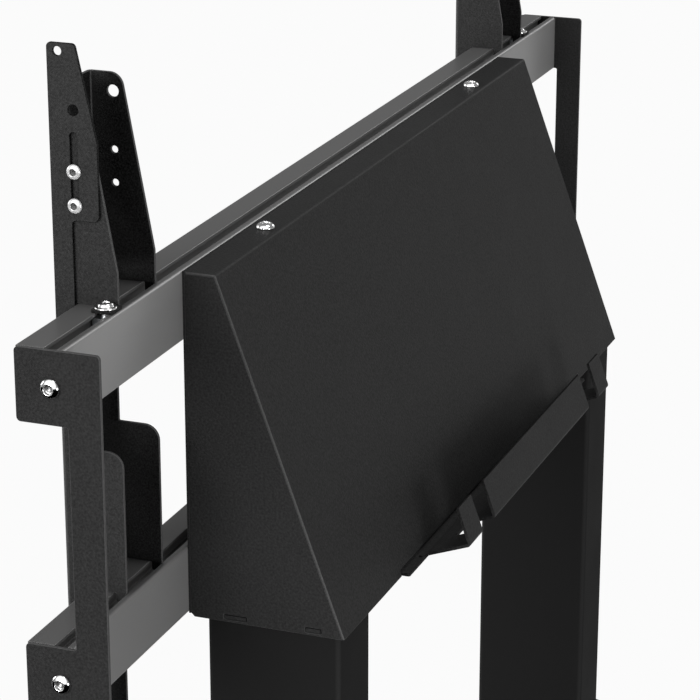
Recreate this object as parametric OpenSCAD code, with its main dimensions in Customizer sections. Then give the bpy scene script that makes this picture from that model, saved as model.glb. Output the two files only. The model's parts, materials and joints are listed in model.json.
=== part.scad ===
// Motorized trolley for a large screen.
// Right is +X, the screen side is -Y, the operator side is +Y and up is +Z.
// The origin lies on the ground, at the middle of the trolley's footprint.

/* [Lift] */
// Height of the housing's lower edge above the ground
lift_height = 1340; // [1290:5:1400]
// Distance of a column's centre inside the housing's side
column_inset = 44; // [42:1:60]
// Width of the moving tube, across the trolley
tube_w = 77; // [72:1:80]
// Depth of the moving tube, front to back
tube_d = 129; // [122:1:131]
// Wall of the moving tube
tube_wall = 3; // [2.5:0.5:4]
// Corner radius of the moving tube
tube_r = 5; // [3:0.5:8]
// Length of the moving tube
tube_len = 758; // [720:2:790]
// Space between the moving tube and the standing tube
tube_space = 3; // [2.5:0.5:5]
// Wall of the standing tube
stand_wall = 4; // [3:0.5:5]
// Height of the standing tube's top above the ground
stand_top = 860; // [820:5:880]
// Distance of the column centres behind the front face of the rails
column_setback = 123; // [120:1:126]

/* [Rails] */
// Length of each aluminium rail
rail_len = 1350; // [1300:5:1500]
// Height of a rail
rail_h = 64; // [60:1:72]
// Depth of a rail, front to back
rail_d = 43; // [43:1:46]
// Distance between the tops of the two rails
rail_pitch = 260; // [250:1:266]
// Wall of the rail section
rail_wall = 3; // [2.5:0.5:3.5]
// Distance of the slot behind the rail's front face
slot_y = 25; // [24:0.5:25]
// Width of the slot's mouth
slot_w = 11.8; // [11.8:0.1:12.5]
// Thickness of the lips beside the slot
slot_lip = 3.5; // [3:0.5:4]
// Depth of the slot's chamber below its lips
slot_depth = 9; // [9:0.5:11]

/* [End brackets] */
// Thickness of an end bracket
bracket_t = 3.5; // [3:0.5:5]
// Depth of an end bracket, front to back
bracket_d = 76; // [76:1:90]
// Width of the bracket's upright bar behind the rails
bracket_bar = 29.5; // [24:0.5:30]
// Radius of the bracket's corners
bracket_r = 4; // [2:0.5:8]

/* [Housing] */
// Width of the housing
box_w = 892; // [884:2:930]
// Reach of the housing below the lower rail
box_under = 4; // [1:1:17]
// Drop of the housing's top below the rail tops
box_drop = 1; // [1:0.5:4]
// Depth of the housing's level top face
box_top_d = 29.7; // [28:0.1:32]
// Depth of the housing's foot
box_foot_d = 149.4; // [146:0.2:156]
// Sheet thickness of the cover and the side plates
sheet = 2; // [1.5:0.5:2.5]
// Thickness of the floor plate
floor_t = 3.5; // [3:0.5:5]

/* [Ledge] */
// Thickness of the ledge's sheet
ledge_t = 3; // [2:0.5:4]
// Width of the tongue that comes out under the housing
tongue_w = 586; // [560:2:620]
// Reach of the tongue behind the housing's foot
tongue_out = 6.5; // [5:0.5:10]
// Width of the shelf
shelf_w = 480; // [440:2:520]
// Depth of the shelf
shelf_d = 47; // [40:1:70]
// Depth of the shelf's unbroken root
shelf_root = 17.8; // [12:0.2:22]
// Height of the upturned lips
lip_h = 39.8; // [25:0.2:50]
// Width of a narrow finger
finger_w = 37.5; // [25:0.5:50]
// Width of the gap beside a narrow finger
finger_gap = 38.5; // [25:0.5:50]

/* [Screen strips] */
// Place of the right strip along the rails
strip_right_x = 524; // [510:1:560]
// Place of the left strip along the rails
strip_left_x = -516; // [-560:1:-510]
// Width of a strip
strip_w = 76; // [60:1:80]
// Sheet thickness of a strip
strip_t = 3; // [2.5:0.5:3.5]
// Distance of the strip's front face ahead of the rails
strip_front = 21; // [20:0.5:26]
// Height of a strip above the upper rail
strip_up = 182; // [178:1:240]
// Length of a strip below the upper rail's top
strip_down = 506; // [490:2:560]
// Reach of a strip's flanges behind the rails' front face
flange_reach = 37.3; // [37:0.1:38]
// Height of an extension plate above the upper rail
extension_up = 222; // [216:1:260]
// Spacing of the two screws that hold an extension plate
screw_pitch = 29; // [28:0.5:36]
// Height of the lower of those screws above the upper rail
screw_low = 86; // [84:1:90]

/* [Base] */
// Width of a leg
leg_w = 98; // [95:1:112]
// Height of a leg
leg_h = 50; // [40:1:60]
// Reach of the legs ahead of the columns
leg_front = 450; // [380:5:520]
// Reach of the legs behind the columns
leg_rear = 330; // [280:5:400]
// Wall of the legs and of the cross beam
leg_wall = 3; // [2.5:0.5:4]
// Height of the cross beam
beam_h = 40; // [30:1:40]
// Depth of the cross beam
beam_d = 60; // [50:1:80]
// Diameter of a castor wheel
wheel_d = 100; // [90:1:104]
// Width of a castor wheel
wheel_w = 32; // [28:1:36]
// Distance between a castor's swivel axis and its axle
castor_trail = 36; // [30:1:40]
// Height of a castor
castor_h = 130; // [130:1:140]

/* [Fasteners] */
// Diameter of the large button-head bolts
bolt_d = 10; // [8:1:10]
// Diameter of the bolts that hold the carriers to the rails
rail_bolt_d = 8; // [6:1:8]
// Diameter of the bolts that hold the castors
castor_bolt_d = 8; // [6:1:8]
// Diameter of the screws of the extension plates
screw_d = 6; // [5:1:6]

/* [Clearances] */
// Space between parts that slide past each other
slide_gap = 0.3; // [0.2:0.1:0.5]
// Radial play of pins that turn in a bore
pin_play = 0.05; // [0.02:0.01:0.08]
// Radial play of a fixed bolt in its hole
bolt_play = 0.25; // [0.1:0.05:0.4]
// Joint line left between neighbouring sheets
seam = 0.2; // [0.1:0.1:0.4]

/* [Hidden] */

$fn = 48;
powder_black = [0.10, 0.10, 0.11];
tube_black = [0.07, 0.07, 0.08];
anodised = [0.36, 0.35, 0.35];
bright = [0.80, 0.81, 0.83];
zinc = [0.60, 0.62, 0.64];
plastic = [0.12, 0.12, 0.13];
rubber = [0.06, 0.06, 0.06];

corner_steps = 8;
eps = 0.01;
cut = 1;

// Radii of the bolts and screws, and the heads that go with them
bolt_r = bolt_d / 2;
rail_bolt_r = rail_bolt_d / 2;
castor_bolt_r = castor_bolt_d / 2;
screw_r = screw_d / 2;
ledge_screw_r = 2.5;
ledge_screw_head_r = 5;
hex_head_r = 1.85;
hex_head_h = 1.25;

// Rails, in the head frame: Y from the rails' front face, Z from the top of the upper rail
box_h = rail_pitch + rail_h + box_under - box_drop;
rail_top_z = lift_height + box_h + box_drop;
rail_mid = rail_h / 2;
rail_mids = [-rail_mid, -rail_pitch - rail_mid];
slot_mid = slot_y + slot_w / 2;
chamber_front = slot_y - rail_wall - 1;
chamber_rear = rail_d - rail_wall;
chamber_d = chamber_rear - chamber_front;
boss_y = rail_d - 11;
bracket_x = rail_len / 2 + seam;
bracket_shank = 24;

// Housing
box_front = rail_d + sheet;
box_top_z = -box_drop;
box_foot_z = box_top_z - box_h;
slope_top_y = box_front + box_top_d;
slope_foot_y = box_front + box_foot_d;
slope_angle = atan((slope_foot_y - slope_top_y) / box_h);
slope_run = tan(slope_angle);
slope_shift = sheet / cos(slope_angle);
floor_under = box_foot_z + ledge_t;
floor_top = floor_under + floor_t;
side_x = box_w / 2;
notch_h = ledge_t + 2;
notch_play = 1;
bolt_top_inset = 149;
bolt_top_x = side_x - bolt_top_inset;
bolt_top_y = box_front + box_top_d / 2;
front_tab_in = 33;
front_tab_d = 21;
rear_tab_in = 112;
rear_tab_d = 14;
floor_tabs = [[box_front + front_tab_in, front_tab_d], [box_front + rear_tab_in, rear_tab_d]];
tab_play = 0.3;

// Ledge screws, and the mains inlet in the floor
ledge_screw_x = [-260, -90, 90, 260];
ledge_screw_in = 120;
ledge_screw_y = box_front + ledge_screw_in;
inlet_x = -170;
inlet_in = 55;
inlet_y = box_front + inlet_in;
inlet_w = 28;
inlet_d = 20;

// Columns and the carriers on their heads
column_x = side_x - column_inset;
column_bolt_side_in = 17;
column_bolt_front_in = 12;
column_bolt_rear_in = 34;
column_bolt_x = tube_w / 2 - column_bolt_side_in;
column_bolt_front = column_setback - tube_d / 2 + column_bolt_front_in;
column_bolt_rear = column_setback + tube_d / 2 - column_bolt_rear_in;
column_bolt_ys = [column_bolt_front, column_bolt_rear];
head_plate_t = 10;
head_z = rail_top_z + floor_under;
carrier_w = tube_w - 2;
carrier_t = 6;
carrier_foot_t = 8;
carrier_foot_top = floor_top + carrier_foot_t;
carrier_rear = column_bolt_rear + 18;
carrier_bolt_x = 15;
rail_bolt_depth = 5;

// Lift drive: a spindle hangs from each motor and runs in a nut on a standing tube
lift_down = 385;
motor_y = (column_bolt_front + column_bolt_rear) / 2;
spindle_r = 10;
spindle_len = 654;
thrust_r = 16;
thrust_h = 12;
nut_r = 20;
nut_h = 40;
nut_top = head_z - head_plate_t - thrust_h - lift_down - 10;

// Screen strips
strip_skin = -1;
strip_mid = -rail_pitch / 2 - rail_mid;
screen_hole_r = 4.5;
screen_hole_steps = [-300, -200, -100, 0, 100, 200, 300];
big_hole_y = 2.4;
big_hole_r = 5.3;
big_hole_up = strip_up - 16.3;
screw_heights = [screw_low, screw_low + screw_pitch];
flange_drop = 66;
step_drop = 13;
back_rise = 54;
clamp_out = bolt_r + 5.5;
clamp_foot_t = 2.5;
clamp_foot_top = slide_gap + clamp_foot_t;

// Base, with its Y measured from the columns
leg_under = castor_h;
leg_mid_z = leg_under + leg_h / 2;
leg_top = leg_under + leg_h;
leg_r = 5;
foot_plate_t = 10;
stand_foot = leg_top + foot_plate_t;
stand_in_w = tube_w + 2 * tube_space;
stand_in_d = tube_d + 2 * tube_space;
stand_in_r = tube_r + tube_space;
stand_w = stand_in_w + 2 * stand_wall;
stand_d = stand_in_d + 2 * stand_wall;
stand_r = stand_in_r + stand_wall;
foot_plate_out = 35;
foot_plate_d = stand_d + 2 * foot_plate_out;
foot_bolt_in = 17;
foot_bolt_x = leg_w / 2 - foot_bolt_in;
foot_bolt_y = foot_plate_d / 2 - foot_bolt_in;
foot_bolt_xs = [-foot_bolt_x, foot_bolt_x];
foot_bolt_ys = [-foot_bolt_y, foot_bolt_y];
beam_x = column_x - leg_w / 2;
beam_plate_t = 6;
beam_plate_out = 26;
beam_bolt_out = 14;
beam_bolt_y = beam_d / 2 + beam_bolt_out;
cap_out = 4;

// Castors, with heights measured from the ground
wheel_r = wheel_d / 2;
hub_r = wheel_r - 9;
castor_inset = 52;
castor_bolt_x = 28;
castor_bolt_y = 36;
castor_plate_t = 4;
castor_plate_d = 100;
castor_front_y = -leg_front + castor_inset;
castor_rear_y = leg_rear - castor_inset;
castors = [[1, castor_front_y], [-1, castor_front_y], [1, castor_rear_y], [-1, castor_rear_y]];
race_r = 23;
race_h = 10;
race_foot = castor_h - castor_plate_t - race_h;
swivel_r = 6;
swivel_head_r = 9;
crown_r = 24;
crown_t = 9;
crown_top = race_foot - slide_gap;
crown_foot = crown_top - crown_t;
fork_t = 4;
fork_in = wheel_w / 2 + 2;
axle_r = 5;
pedal_pin_r = 3;
pedal_back = 24;
pedal_y = castor_trail + pedal_back;
pedal_z = wheel_r + sqrt(pow(wheel_r + 9.1, 2) - pow(pedal_back, 2));
pedal_len = 50;

// Place of the columns behind the middle of the footprint
front_reach = leg_front + cap_out;
rear_reach = max(leg_rear + cap_out, castor_rear_y + pedal_y + pedal_len);
column_y = (front_reach - rear_reach) / 2;

// Unit vector along a plane vector
function unit(v) = v / norm(v);

// Points of one rounded corner at p, between the neighbours a and b
function corner(p, a, b, r) =
    r == 0 ? [p] :
    let (
        u = unit(a - p),
        w = unit(b - p),
        half = acos(u * w) / 2,
        centre = p + unit(u + w) * (r / sin(half)),
        start = p + u * (r / tan(half)) - centre,
        turn = cross(p - a, b - p) > 0 ? 1 : -1,
        from = atan2(start[1], start[0]),
        sweep = turn * (180 - 2 * half)
    )
    [for (k = [0 : corner_steps])
        let (a = from + sweep * k / corner_steps)
        centre + r * [cos(a), sin(a)]];

// Outline whose corners [x, y, radius] are rounded
function outline(pts) =
    let (n = len(pts))
    [for (i = [0 : n - 1])
        let (p = pts[i], a = pts[(i + n - 1) % n], b = pts[(i + 1) % n])
        each corner([p[0], p[1]], [a[0], a[1]], [b[0], b[1]], p[2])];

// Moves from the head frame to the trolley frame
module in_head() {
    translate([0, column_y - column_setback, rail_top_z]) children();
}

// Moves to the foot of one column
module at_column(side) {
    translate([side * column_x, column_y, 0]) children();
}

// Moves to one screen strip in the head frame; the left strip is the mirror image of the right
module at_strip(side) {
    in_head() translate([side > 0 ? strip_right_x : strip_left_x, 0, 0])
        mirror([side > 0 ? 0 : 1, 0, 0]) children();
}

// Moves to the swivel axis of one castor
module at_castor(i) {
    at_column(castors[i][0]) translate([0, castors[i][1], 0]) children();
}

// Drills a hole along +X, +Y or +Z from the origin
module drill_x(r, h) {
    rotate([0, 90, 0]) cylinder(r = r, h = h);
}

module drill_y(r, h) {
    rotate([-90, 0, 0]) cylinder(r = r, h = h);
}

module drill_z(r, h) {
    cylinder(r = r, h = h);
}

// Extrudes an outline drawn in the Y-Z plane from x0 over a width w
module side_sheet(x0, w) {
    translate([x0, 0, 0]) rotate([90, 0, 90]) linear_extrude(w) children();
}

// Rectangle centred on the origin with true round corners
module round_rect(w, d, r) {
    square([w - 2 * r, d], center = true);
    square([w, d - 2 * r], center = true);
    for (sx = [-1, 1], sy = [-1, 1]) translate([sx * (w / 2 - r), sy * (d / 2 - r)]) circle(r);
}

// Hollow rectangular tube standing on z = 0
module rect_tube(w, d, wall, r, h) {
    linear_extrude(h) difference() {
        round_rect(w, d, r);
        round_rect(w - 2 * wall, d - 2 * wall, max(r - wall, 1));
    }
}

// Button head with a hexagon socket, seated on z = 0, with its shank below
module button_bolt(r, shank, head_r, head_h) {
    rim = head_h * 0.18;
    socket_r = r * 0.62;
    dome = [for (a = [0 : 15 : 90]) [head_r * cos(a), rim + (head_h - rim) * sin(a)]];
    difference() {
        union() {
            rotate_extrude() polygon(concat([[0, 0], [head_r, 0]], dome));
            translate([0, 0, -shank]) cylinder(r = r, h = shank + eps);
        }
        translate([0, 0, head_h * 0.35]) cylinder(r = socket_r, h = head_h, $fn = 6);
    }
}

// Hexagon head bolt, seated on z = 0, with its shank below
module hex_bolt(r, shank) {
    cylinder(r = r * hex_head_r, h = r * hex_head_h, $fn = 6);
    translate([0, 0, -shank]) cylinder(r = r, h = shank + eps);
}

// Section of an aluminium rail, in the Y-Z plane with the top front corner at the origin
module rail_section() {
    rear_edge_r = 3;
    chamber_top = -slot_lip - slot_depth - rail_wall;
    chamber_foot = -rail_h + rail_wall;
    boss_r = chamber_d / 2 + 0.5;
    difference() {
        polygon(outline([
            [0, -rail_h, 1], [rail_d, -rail_h, 1.5], [rail_d, 0, rear_edge_r], [0, 0, 1]
        ]));
        translate([slot_y, -slot_lip - eps]) square([slot_w, slot_lip + cut]);
        translate([chamber_front, -slot_lip - slot_depth]) square([chamber_d, slot_depth]);
        translate([rail_wall, chamber_foot])
            square([chamber_front - 2 * rail_wall, rail_h - 2 * rail_wall]);
        difference() {
            translate([chamber_front, chamber_foot]) square([chamber_d, chamber_top - chamber_foot]);
            translate([boss_y, -rail_mid]) circle(boss_r);
            translate([chamber_front, -rail_mid - rail_wall / 2])
                square([boss_y - chamber_front, rail_wall]);
        }
        translate([boss_y, -rail_mid]) circle(bolt_r + pin_play);
    }
}

// Aluminium rail with the blind holes for the carrier bolts
module rail(top) {
    color(anodised) in_head() translate([0, 0, top]) difference() {
        side_sheet(-rail_len / 2, rail_len) rail_section();
        for (side = [-1, 1], dx = [-carrier_bolt_x, carrier_bolt_x])
            translate([side * column_x + dx, rail_d - rail_bolt_depth, -rail_mid])
                drill_y(rail_bolt_r + bolt_play, rail_bolt_depth + cut);
    }
}

module rail_upper() { rail(0); }
module rail_lower() { rail(-rail_pitch); }

// Flat bracket that ties the ends of both rails together
module end_bracket(side) {
    bar_y = bracket_d - bracket_bar;
    foot = -rail_pitch - rail_h;
    color(powder_black) in_head() difference() {
        side_sheet(side > 0 ? bracket_x : -bracket_x - bracket_t, bracket_t) polygon(outline([
            [0, 0, bracket_r], [0, -rail_h, bracket_r], [bar_y, -rail_h, bracket_r],
            [bar_y, -rail_pitch, bracket_r], [0, -rail_pitch, bracket_r], [0, foot, bracket_r],
            [bracket_d, foot, bracket_r], [bracket_d, 0, bracket_r]
        ]));
        for (z = rail_mids)
            translate([side * bracket_x - bracket_t - cut, boss_y, z])
                drill_x(bolt_r + bolt_play, 2 * (bracket_t + cut));
    }
}

module end_bracket_right() { end_bracket(1); }
module end_bracket_left() { end_bracket(-1); }

// Large bright bolts: two in each end bracket and two on the housing's top
module button_bolts() {
    head_r = bolt_r * 1.75;
    head_h = bolt_r * 1.1;
    color(bright) in_head() for (side = [-1, 1]) {
        for (z = rail_mids)
            translate([side * (bracket_x + bracket_t), boss_y, z])
                rotate([0, side * 90, 0]) button_bolt(bolt_r, bracket_shank, head_r, head_h);
        translate([side * bolt_top_x, bolt_top_y, box_top_z])
            button_bolt(bolt_r, sheet + seam + 10, head_r, head_h);
    }
}

// Outline of the housing seen from the side, drawn inward by d from the top and the slope
function box_profile(d) =
    let (rear = slope_top_y - d / cos(slope_angle) + d * slope_run)
    [
        [box_front, box_top_z - d],
        [box_front, box_foot_z],
        [slope_foot_y - d / cos(slope_angle), box_foot_z],
        [rear, box_top_z - d]
    ];

// Inner face of the sloping sheet at the height z
function slope_inner(z) = slope_top_y - slope_shift + (box_top_z - z) * slope_run;

// Folded cover: level top and sloping rear face, with a notch at its foot for the ledge
module box_cover() {
    below = box_foot_z - cut;
    ahead = box_front - cut;
    color(powder_black) in_head() difference() {
        side_sheet(-side_x, box_w) difference() {
            polygon(box_profile(0));
            polygon([
                [ahead, box_top_z - sheet], [ahead, below], [slope_inner(below), below],
                [slope_inner(box_top_z - sheet), box_top_z - sheet]
            ]);
        }
        translate([-tongue_w / 2 - notch_play, slope_top_y, below])
            cube([tongue_w + 2 * notch_play, box_foot_d, notch_h + cut]);
        for (side = [-1, 1])
            translate([side * bolt_top_x, bolt_top_y, box_top_z - sheet - cut])
                drill_z(bolt_r + bolt_play, sheet + 2 * cut);
    }
}

// Side plate of the housing, with two slots that take the tabs of the floor
module box_side(side) {
    nose = 3.5;
    p = box_profile(sheet + seam);
    color(powder_black) in_head() difference() {
        side_sheet(side > 0 ? side_x - sheet : -side_x, sheet) polygon([
            p[0], [box_front, box_foot_z + nose], [box_front + nose, box_foot_z], p[2], p[3]
        ]);
        for (t = floor_tabs)
            side_sheet(side * side_x - sheet - cut, 2 * (sheet + cut))
                translate([t[0] - tab_play, floor_under - tab_play])
                    square([t[1] + 2 * tab_play, floor_t + 2 * tab_play]);
    }
}

module box_side_right() { box_side(1); }
module box_side_left() { box_side(-1); }

// Floor of the housing, which rests on the columns and ends in tabs
module box_floor() {
    inner_x = side_x - sheet - seam;
    below = floor_under - cut;
    deep = floor_t + 2 * cut;
    color(powder_black) in_head() difference() {
        union() {
            side_sheet(-inner_x, 2 * inner_x) polygon([
                [box_front, floor_under], [slope_inner(floor_under) - seam, floor_under],
                [slope_inner(floor_top) - seam, floor_top], [box_front, floor_top]
            ]);
            for (t = floor_tabs)
                side_sheet(-side_x, box_w) translate([t[0], floor_under]) square([t[1], floor_t]);
        }
        for (side = [-1, 1]) translate([side * column_x, 0, below]) {
            for (dx = [-column_bolt_x, column_bolt_x], y = column_bolt_ys)
                translate([dx, y, 0]) drill_z(bolt_r + bolt_play, deep);
            translate([0, motor_y, 0]) drill_z(spindle_r + bolt_play, deep);
        }
        for (x = ledge_screw_x)
            translate([x, ledge_screw_y, below]) drill_z(ledge_screw_r + bolt_play, deep);
        translate([inlet_x - inlet_w / 2 - seam, inlet_y - inlet_d / 2 - seam, below])
            cube([inlet_w + 2 * seam, inlet_d + 2 * seam, deep]);
    }
}

// Plate that closes the housing behind the rails, with the welded angles that carry the cover
module box_back() {
    angle_w = 60;
    angle_t = 5;
    angle_h = 40;
    boss_w = 20;
    boss_h = 6;
    angle_z = box_top_z - sheet - seam;
    color(powder_black) in_head() difference() {
        union() {
            translate([-side_x, rail_d, floor_under])
                cube([box_w, sheet, box_top_z - floor_under]);
            for (side = [-1, 1]) translate([side * bolt_top_x - angle_w / 2, 0, angle_z]) {
                translate([0, box_front - eps, -angle_t]) cube([angle_w, box_top_d - 4, angle_t]);
                translate([0, box_front - eps, -angle_h]) cube([angle_w, angle_t, angle_h]);
                translate([0, bolt_top_y - boss_w / 2, -angle_t - boss_h])
                    cube([angle_w, boss_w, boss_h + eps]);
            }
        }
        for (side = [-1, 1])
            translate([side * bolt_top_x, bolt_top_y, angle_z - angle_h])
                drill_z(bolt_r + pin_play, angle_h + sheet + cut);
        for (side = [-1, 1], dx = [-carrier_bolt_x, carrier_bolt_x], z = rail_mids)
            translate([side * column_x + dx, rail_d - cut, z])
                drill_y(rail_bolt_r + bolt_play, sheet + 2 * cut);
    }
}

// Laptop ledge: a tongue under the floor, a tilted shelf and three lipped fingers
module ledge() {
    tongue_rear = slope_foot_y + tongue_out;
    tongue_front = ledge_screw_y - 14;
    half = shelf_w / 2;
    wide = shelf_w - 2 * (finger_w + finger_gap);
    pin_hole_r = 1.8;
    pin_hole_x = half + 10;
    pin_hole_y = tongue_rear - 4.5;
    below = box_foot_z - cut;
    deep = ledge_t + 2 * cut;
    color(powder_black) in_head() difference() {
        union() {
            side_sheet(-tongue_w / 2, tongue_w) translate([tongue_front, box_foot_z])
                square([tongue_rear - tongue_front, ledge_t]);
            translate([0, tongue_rear - ledge_t * slope_run, box_foot_z]) rotate([slope_angle, 0, 0]) {
                translate([-half, 0, 0]) cube([shelf_w, shelf_root, ledge_t]);
                for (f = [[-half, finger_w], [-wide / 2, wide], [half - finger_w, finger_w]]) {
                    translate([f[0], shelf_root - eps, 0])
                        cube([f[1], shelf_d - shelf_root, ledge_t]);
                    translate([f[0], shelf_d - ledge_t, 0]) cube([f[1], ledge_t, lip_h]);
                }
            }
        }
        for (x = ledge_screw_x)
            translate([x, ledge_screw_y, below]) drill_z(ledge_screw_r + bolt_play, deep);
        for (x = [-pin_hole_x, pin_hole_x])
            translate([x, pin_hole_y, below]) drill_z(pin_hole_r, deep);
    }
}

// Screws that hold the ledge, put in from below with their nuts inside the housing
module ledge_screws() {
    nut_t = 4;
    color(zinc) in_head() for (x = ledge_screw_x) translate([x, ledge_screw_y, box_foot_z]) {
        rotate([180, 0, 0])
            button_bolt(ledge_screw_r, ledge_t + floor_t + nut_t + 1, ledge_screw_head_r, 2.6);
        translate([0, 0, ledge_t + floor_t]) difference() {
            cylinder(r = ledge_screw_r * hex_head_r, h = nut_t, $fn = 6);
            translate([0, 0, -cut]) drill_z(ledge_screw_r - eps, nut_t + 2 * cut);
        }
    }
}

// Welded carrier inside the housing: it hangs the rails on one column
module carrier(side) {
    plate_top = -8;
    web_top = -60;
    bevel = 14;
    web_y = box_front + carrier_t - eps;
    web_z = carrier_foot_top - eps;
    color(powder_black) in_head() translate([side * column_x, 0, 0]) difference() {
        union() {
            translate([-carrier_w / 2, box_front, floor_top])
                cube([carrier_w, carrier_t, plate_top - floor_top]);
            translate([-carrier_w / 2, box_front, floor_top])
                cube([carrier_w, carrier_rear - box_front, carrier_foot_t]);
            for (x = [-carrier_w / 2, carrier_w / 2 - carrier_t])
                side_sheet(x, carrier_t) polygon([
                    [web_y, web_z], [carrier_rear, web_z], [carrier_rear - bevel, web_z + bevel],
                    [web_y + bevel, web_top], [web_y, web_top]
                ]);
        }
        for (dx = [-carrier_bolt_x, carrier_bolt_x], z = rail_mids)
            translate([dx, box_front - cut, z])
                drill_y(rail_bolt_r + bolt_play, carrier_t + 2 * cut);
        for (dx = [-column_bolt_x, column_bolt_x], y = column_bolt_ys)
            translate([dx, y, floor_top - cut])
                drill_z(bolt_r + bolt_play, carrier_foot_t + 2 * cut);
        translate([0, motor_y, floor_top - cut])
            drill_z(spindle_r + bolt_play, carrier_foot_t + 2 * cut);
    }
}

module carrier_right() { carrier(1); }
module carrier_left() { carrier(-1); }

// Bolts that hold the carriers to the rails
module carrier_bolts() {
    shank = carrier_t + sheet + rail_bolt_depth - 0.5;
    color(zinc) in_head()
        for (side = [-1, 1], dx = [-carrier_bolt_x, carrier_bolt_x], z = rail_mids)
            translate([side * column_x + dx, box_front + carrier_t, z])
                rotate([-90, 0, 0]) hex_bolt(rail_bolt_r, shank);
}

// Bolts that hold the carriers and the floor to the heads of the columns
module column_bolts() {
    shank = carrier_foot_t + floor_t + head_plate_t - 1;
    color(zinc) in_head()
        for (side = [-1, 1], dx = [-column_bolt_x, column_bolt_x], y = column_bolt_ys)
            translate([side * column_x + dx, y, carrier_foot_top]) hex_bolt(bolt_r, shank);
}

// Moving tube of a column, closed by a head plate under the housing's floor
module inner_tube(side) {
    plate_w = tube_w - 2 * tube_wall + 2 * eps;
    plate_d = tube_d - 2 * tube_wall + 2 * eps;
    plate_z = head_z - head_plate_t;
    color(tube_black) at_column(side) difference() {
        union() {
            translate([0, 0, head_z - tube_len])
                rect_tube(tube_w, tube_d, tube_wall, tube_r, tube_len);
            translate([-plate_w / 2, -plate_d / 2, plate_z]) cube([plate_w, plate_d, head_plate_t]);
        }
        for (dx = [-column_bolt_x, column_bolt_x], y = column_bolt_ys)
            translate([dx, y - column_setback, plate_z - cut])
                drill_z(bolt_r + pin_play, head_plate_t + 2 * cut);
        translate([0, motor_y - column_setback, plate_z - cut])
            drill_z(spindle_r + bolt_play, head_plate_t + 2 * cut);
    }
}

module inner_tube_right() { inner_tube(1); }
module inner_tube_left() { inner_tube(-1); }

// Plastic shoes around the foot of each moving tube
module glide_shoes() {
    shoe_h = 60;
    shoe_t = tube_space - slide_gap - seam;
    shoe_z = head_z - tube_len + 5;
    color(plastic) for (side = [-1, 1]) at_column(side) translate([0, 0, shoe_z + shoe_h / 2])
        for (s = [-1, 1]) {
            translate([s * (tube_w + shoe_t) / 2, 0, 0])
                cube([shoe_t, tube_d - 30, shoe_h], center = true);
            translate([0, s * (tube_d + shoe_t) / 2, 0])
                cube([tube_w - 24, shoe_t, shoe_h], center = true);
        }
}

// Motors with their gear heads, standing on the carriers inside the housing
module lift_motors() {
    gear_r = 26;
    gear_h = 42;
    body_r = 23;
    body_h = 70;
    cap_r = 18;
    cap_h = 8;
    color(zinc) in_head() for (side = [-1, 1])
        translate([side * column_x, motor_y, carrier_foot_top]) {
            cylinder(r = gear_r, h = gear_h);
            translate([0, 0, gear_h - eps]) cylinder(r = body_r, h = body_h);
            translate([0, 0, gear_h + body_h - 2 * eps]) cylinder(r = cap_r, h = cap_h);
        }
}

// Spindles that hang from the motors, each with its thrust collar under the head plate
module lift_spindles() {
    top = rail_top_z + carrier_foot_top;
    collar_z = head_z - head_plate_t - thrust_h;
    color(bright) for (side = [-1, 1]) at_column(side) translate([0, motor_y - column_setback, 0]) {
        translate([0, 0, top - spindle_len]) cylinder(r = spindle_r, h = spindle_len);
        translate([0, 0, collar_z]) cylinder(r = thrust_r, h = thrust_h);
    }
}

// Nuts of the spindles, seated on the push tubes
module spindle_nuts() {
    color(bright) for (side = [-1, 1])
        at_column(side) translate([0, motor_y - column_setback, nut_top - nut_h]) difference() {
            cylinder(r = nut_r, h = nut_h);
            translate([0, 0, -cut]) drill_z(spindle_r + pin_play, nut_h + 2 * cut);
        }
}

// Push tubes that stand on the column feet and take the whole load of the head
module push_tubes() {
    wall = 4;
    len = nut_top - nut_h - stand_foot;
    color(zinc) for (side = [-1, 1])
        at_column(side) translate([0, motor_y - column_setback, stand_foot]) difference() {
            cylinder(r = nut_r, h = len);
            translate([0, 0, -cut]) drill_z(nut_r - wall, len + 2 * cut);
        }
}

// Motor controller on the back plate inside the housing
module control_unit() {
    unit_w = 200;
    unit_d = 40;
    unit_h = 90;
    ear_w = 18;
    ear_h = 30;
    ear_t = 4;
    color(plastic) in_head() translate([0, box_front, floor_top + 40]) {
        translate([-unit_w / 2, 0, 0]) cube([unit_w, unit_d, unit_h]);
        for (s = [-1, 1]) translate([s * (unit_w + ear_w) / 2, 0, unit_h / 2]) {
            translate([0, ear_t / 2, 0]) cube([ear_w + 2 * eps, ear_t, ear_h], center = true);
            translate([0, ear_t - eps, 0]) rotate([-90, 0, 0]) cylinder(r = ear_w / 4, h = 3);
        }
    }
}

// Mains inlet in the floor of the housing
module power_inlet() {
    body_h = 22;
    rim = 5;
    rim_t = 3;
    wall = 2;
    blade_w = 2;
    blade_d = 4;
    color(plastic) in_head() translate([inlet_x, inlet_y, floor_under]) {
        difference() {
            union() {
                translate([-inlet_w / 2, -inlet_d / 2, -eps]) cube([inlet_w, inlet_d, body_h]);
                translate([-inlet_w / 2 - rim, -inlet_d / 2 - rim, -rim_t])
                    cube([inlet_w + 2 * rim, inlet_d + 2 * rim, rim_t]);
            }
            translate([wall - inlet_w / 2, wall - inlet_d / 2, -rim_t - cut])
                cube([inlet_w - 2 * wall, inlet_d - 2 * wall, body_h + rim_t + cut - wall]);
        }
        for (p = [[-7, -2], [0, 3], [7, -2]])
            translate([p[0] - blade_w / 2, p[1] - blade_d / 2, wall])
                cube([blade_w, blade_d, body_h - 2 * wall + eps]);
    }
}

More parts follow.
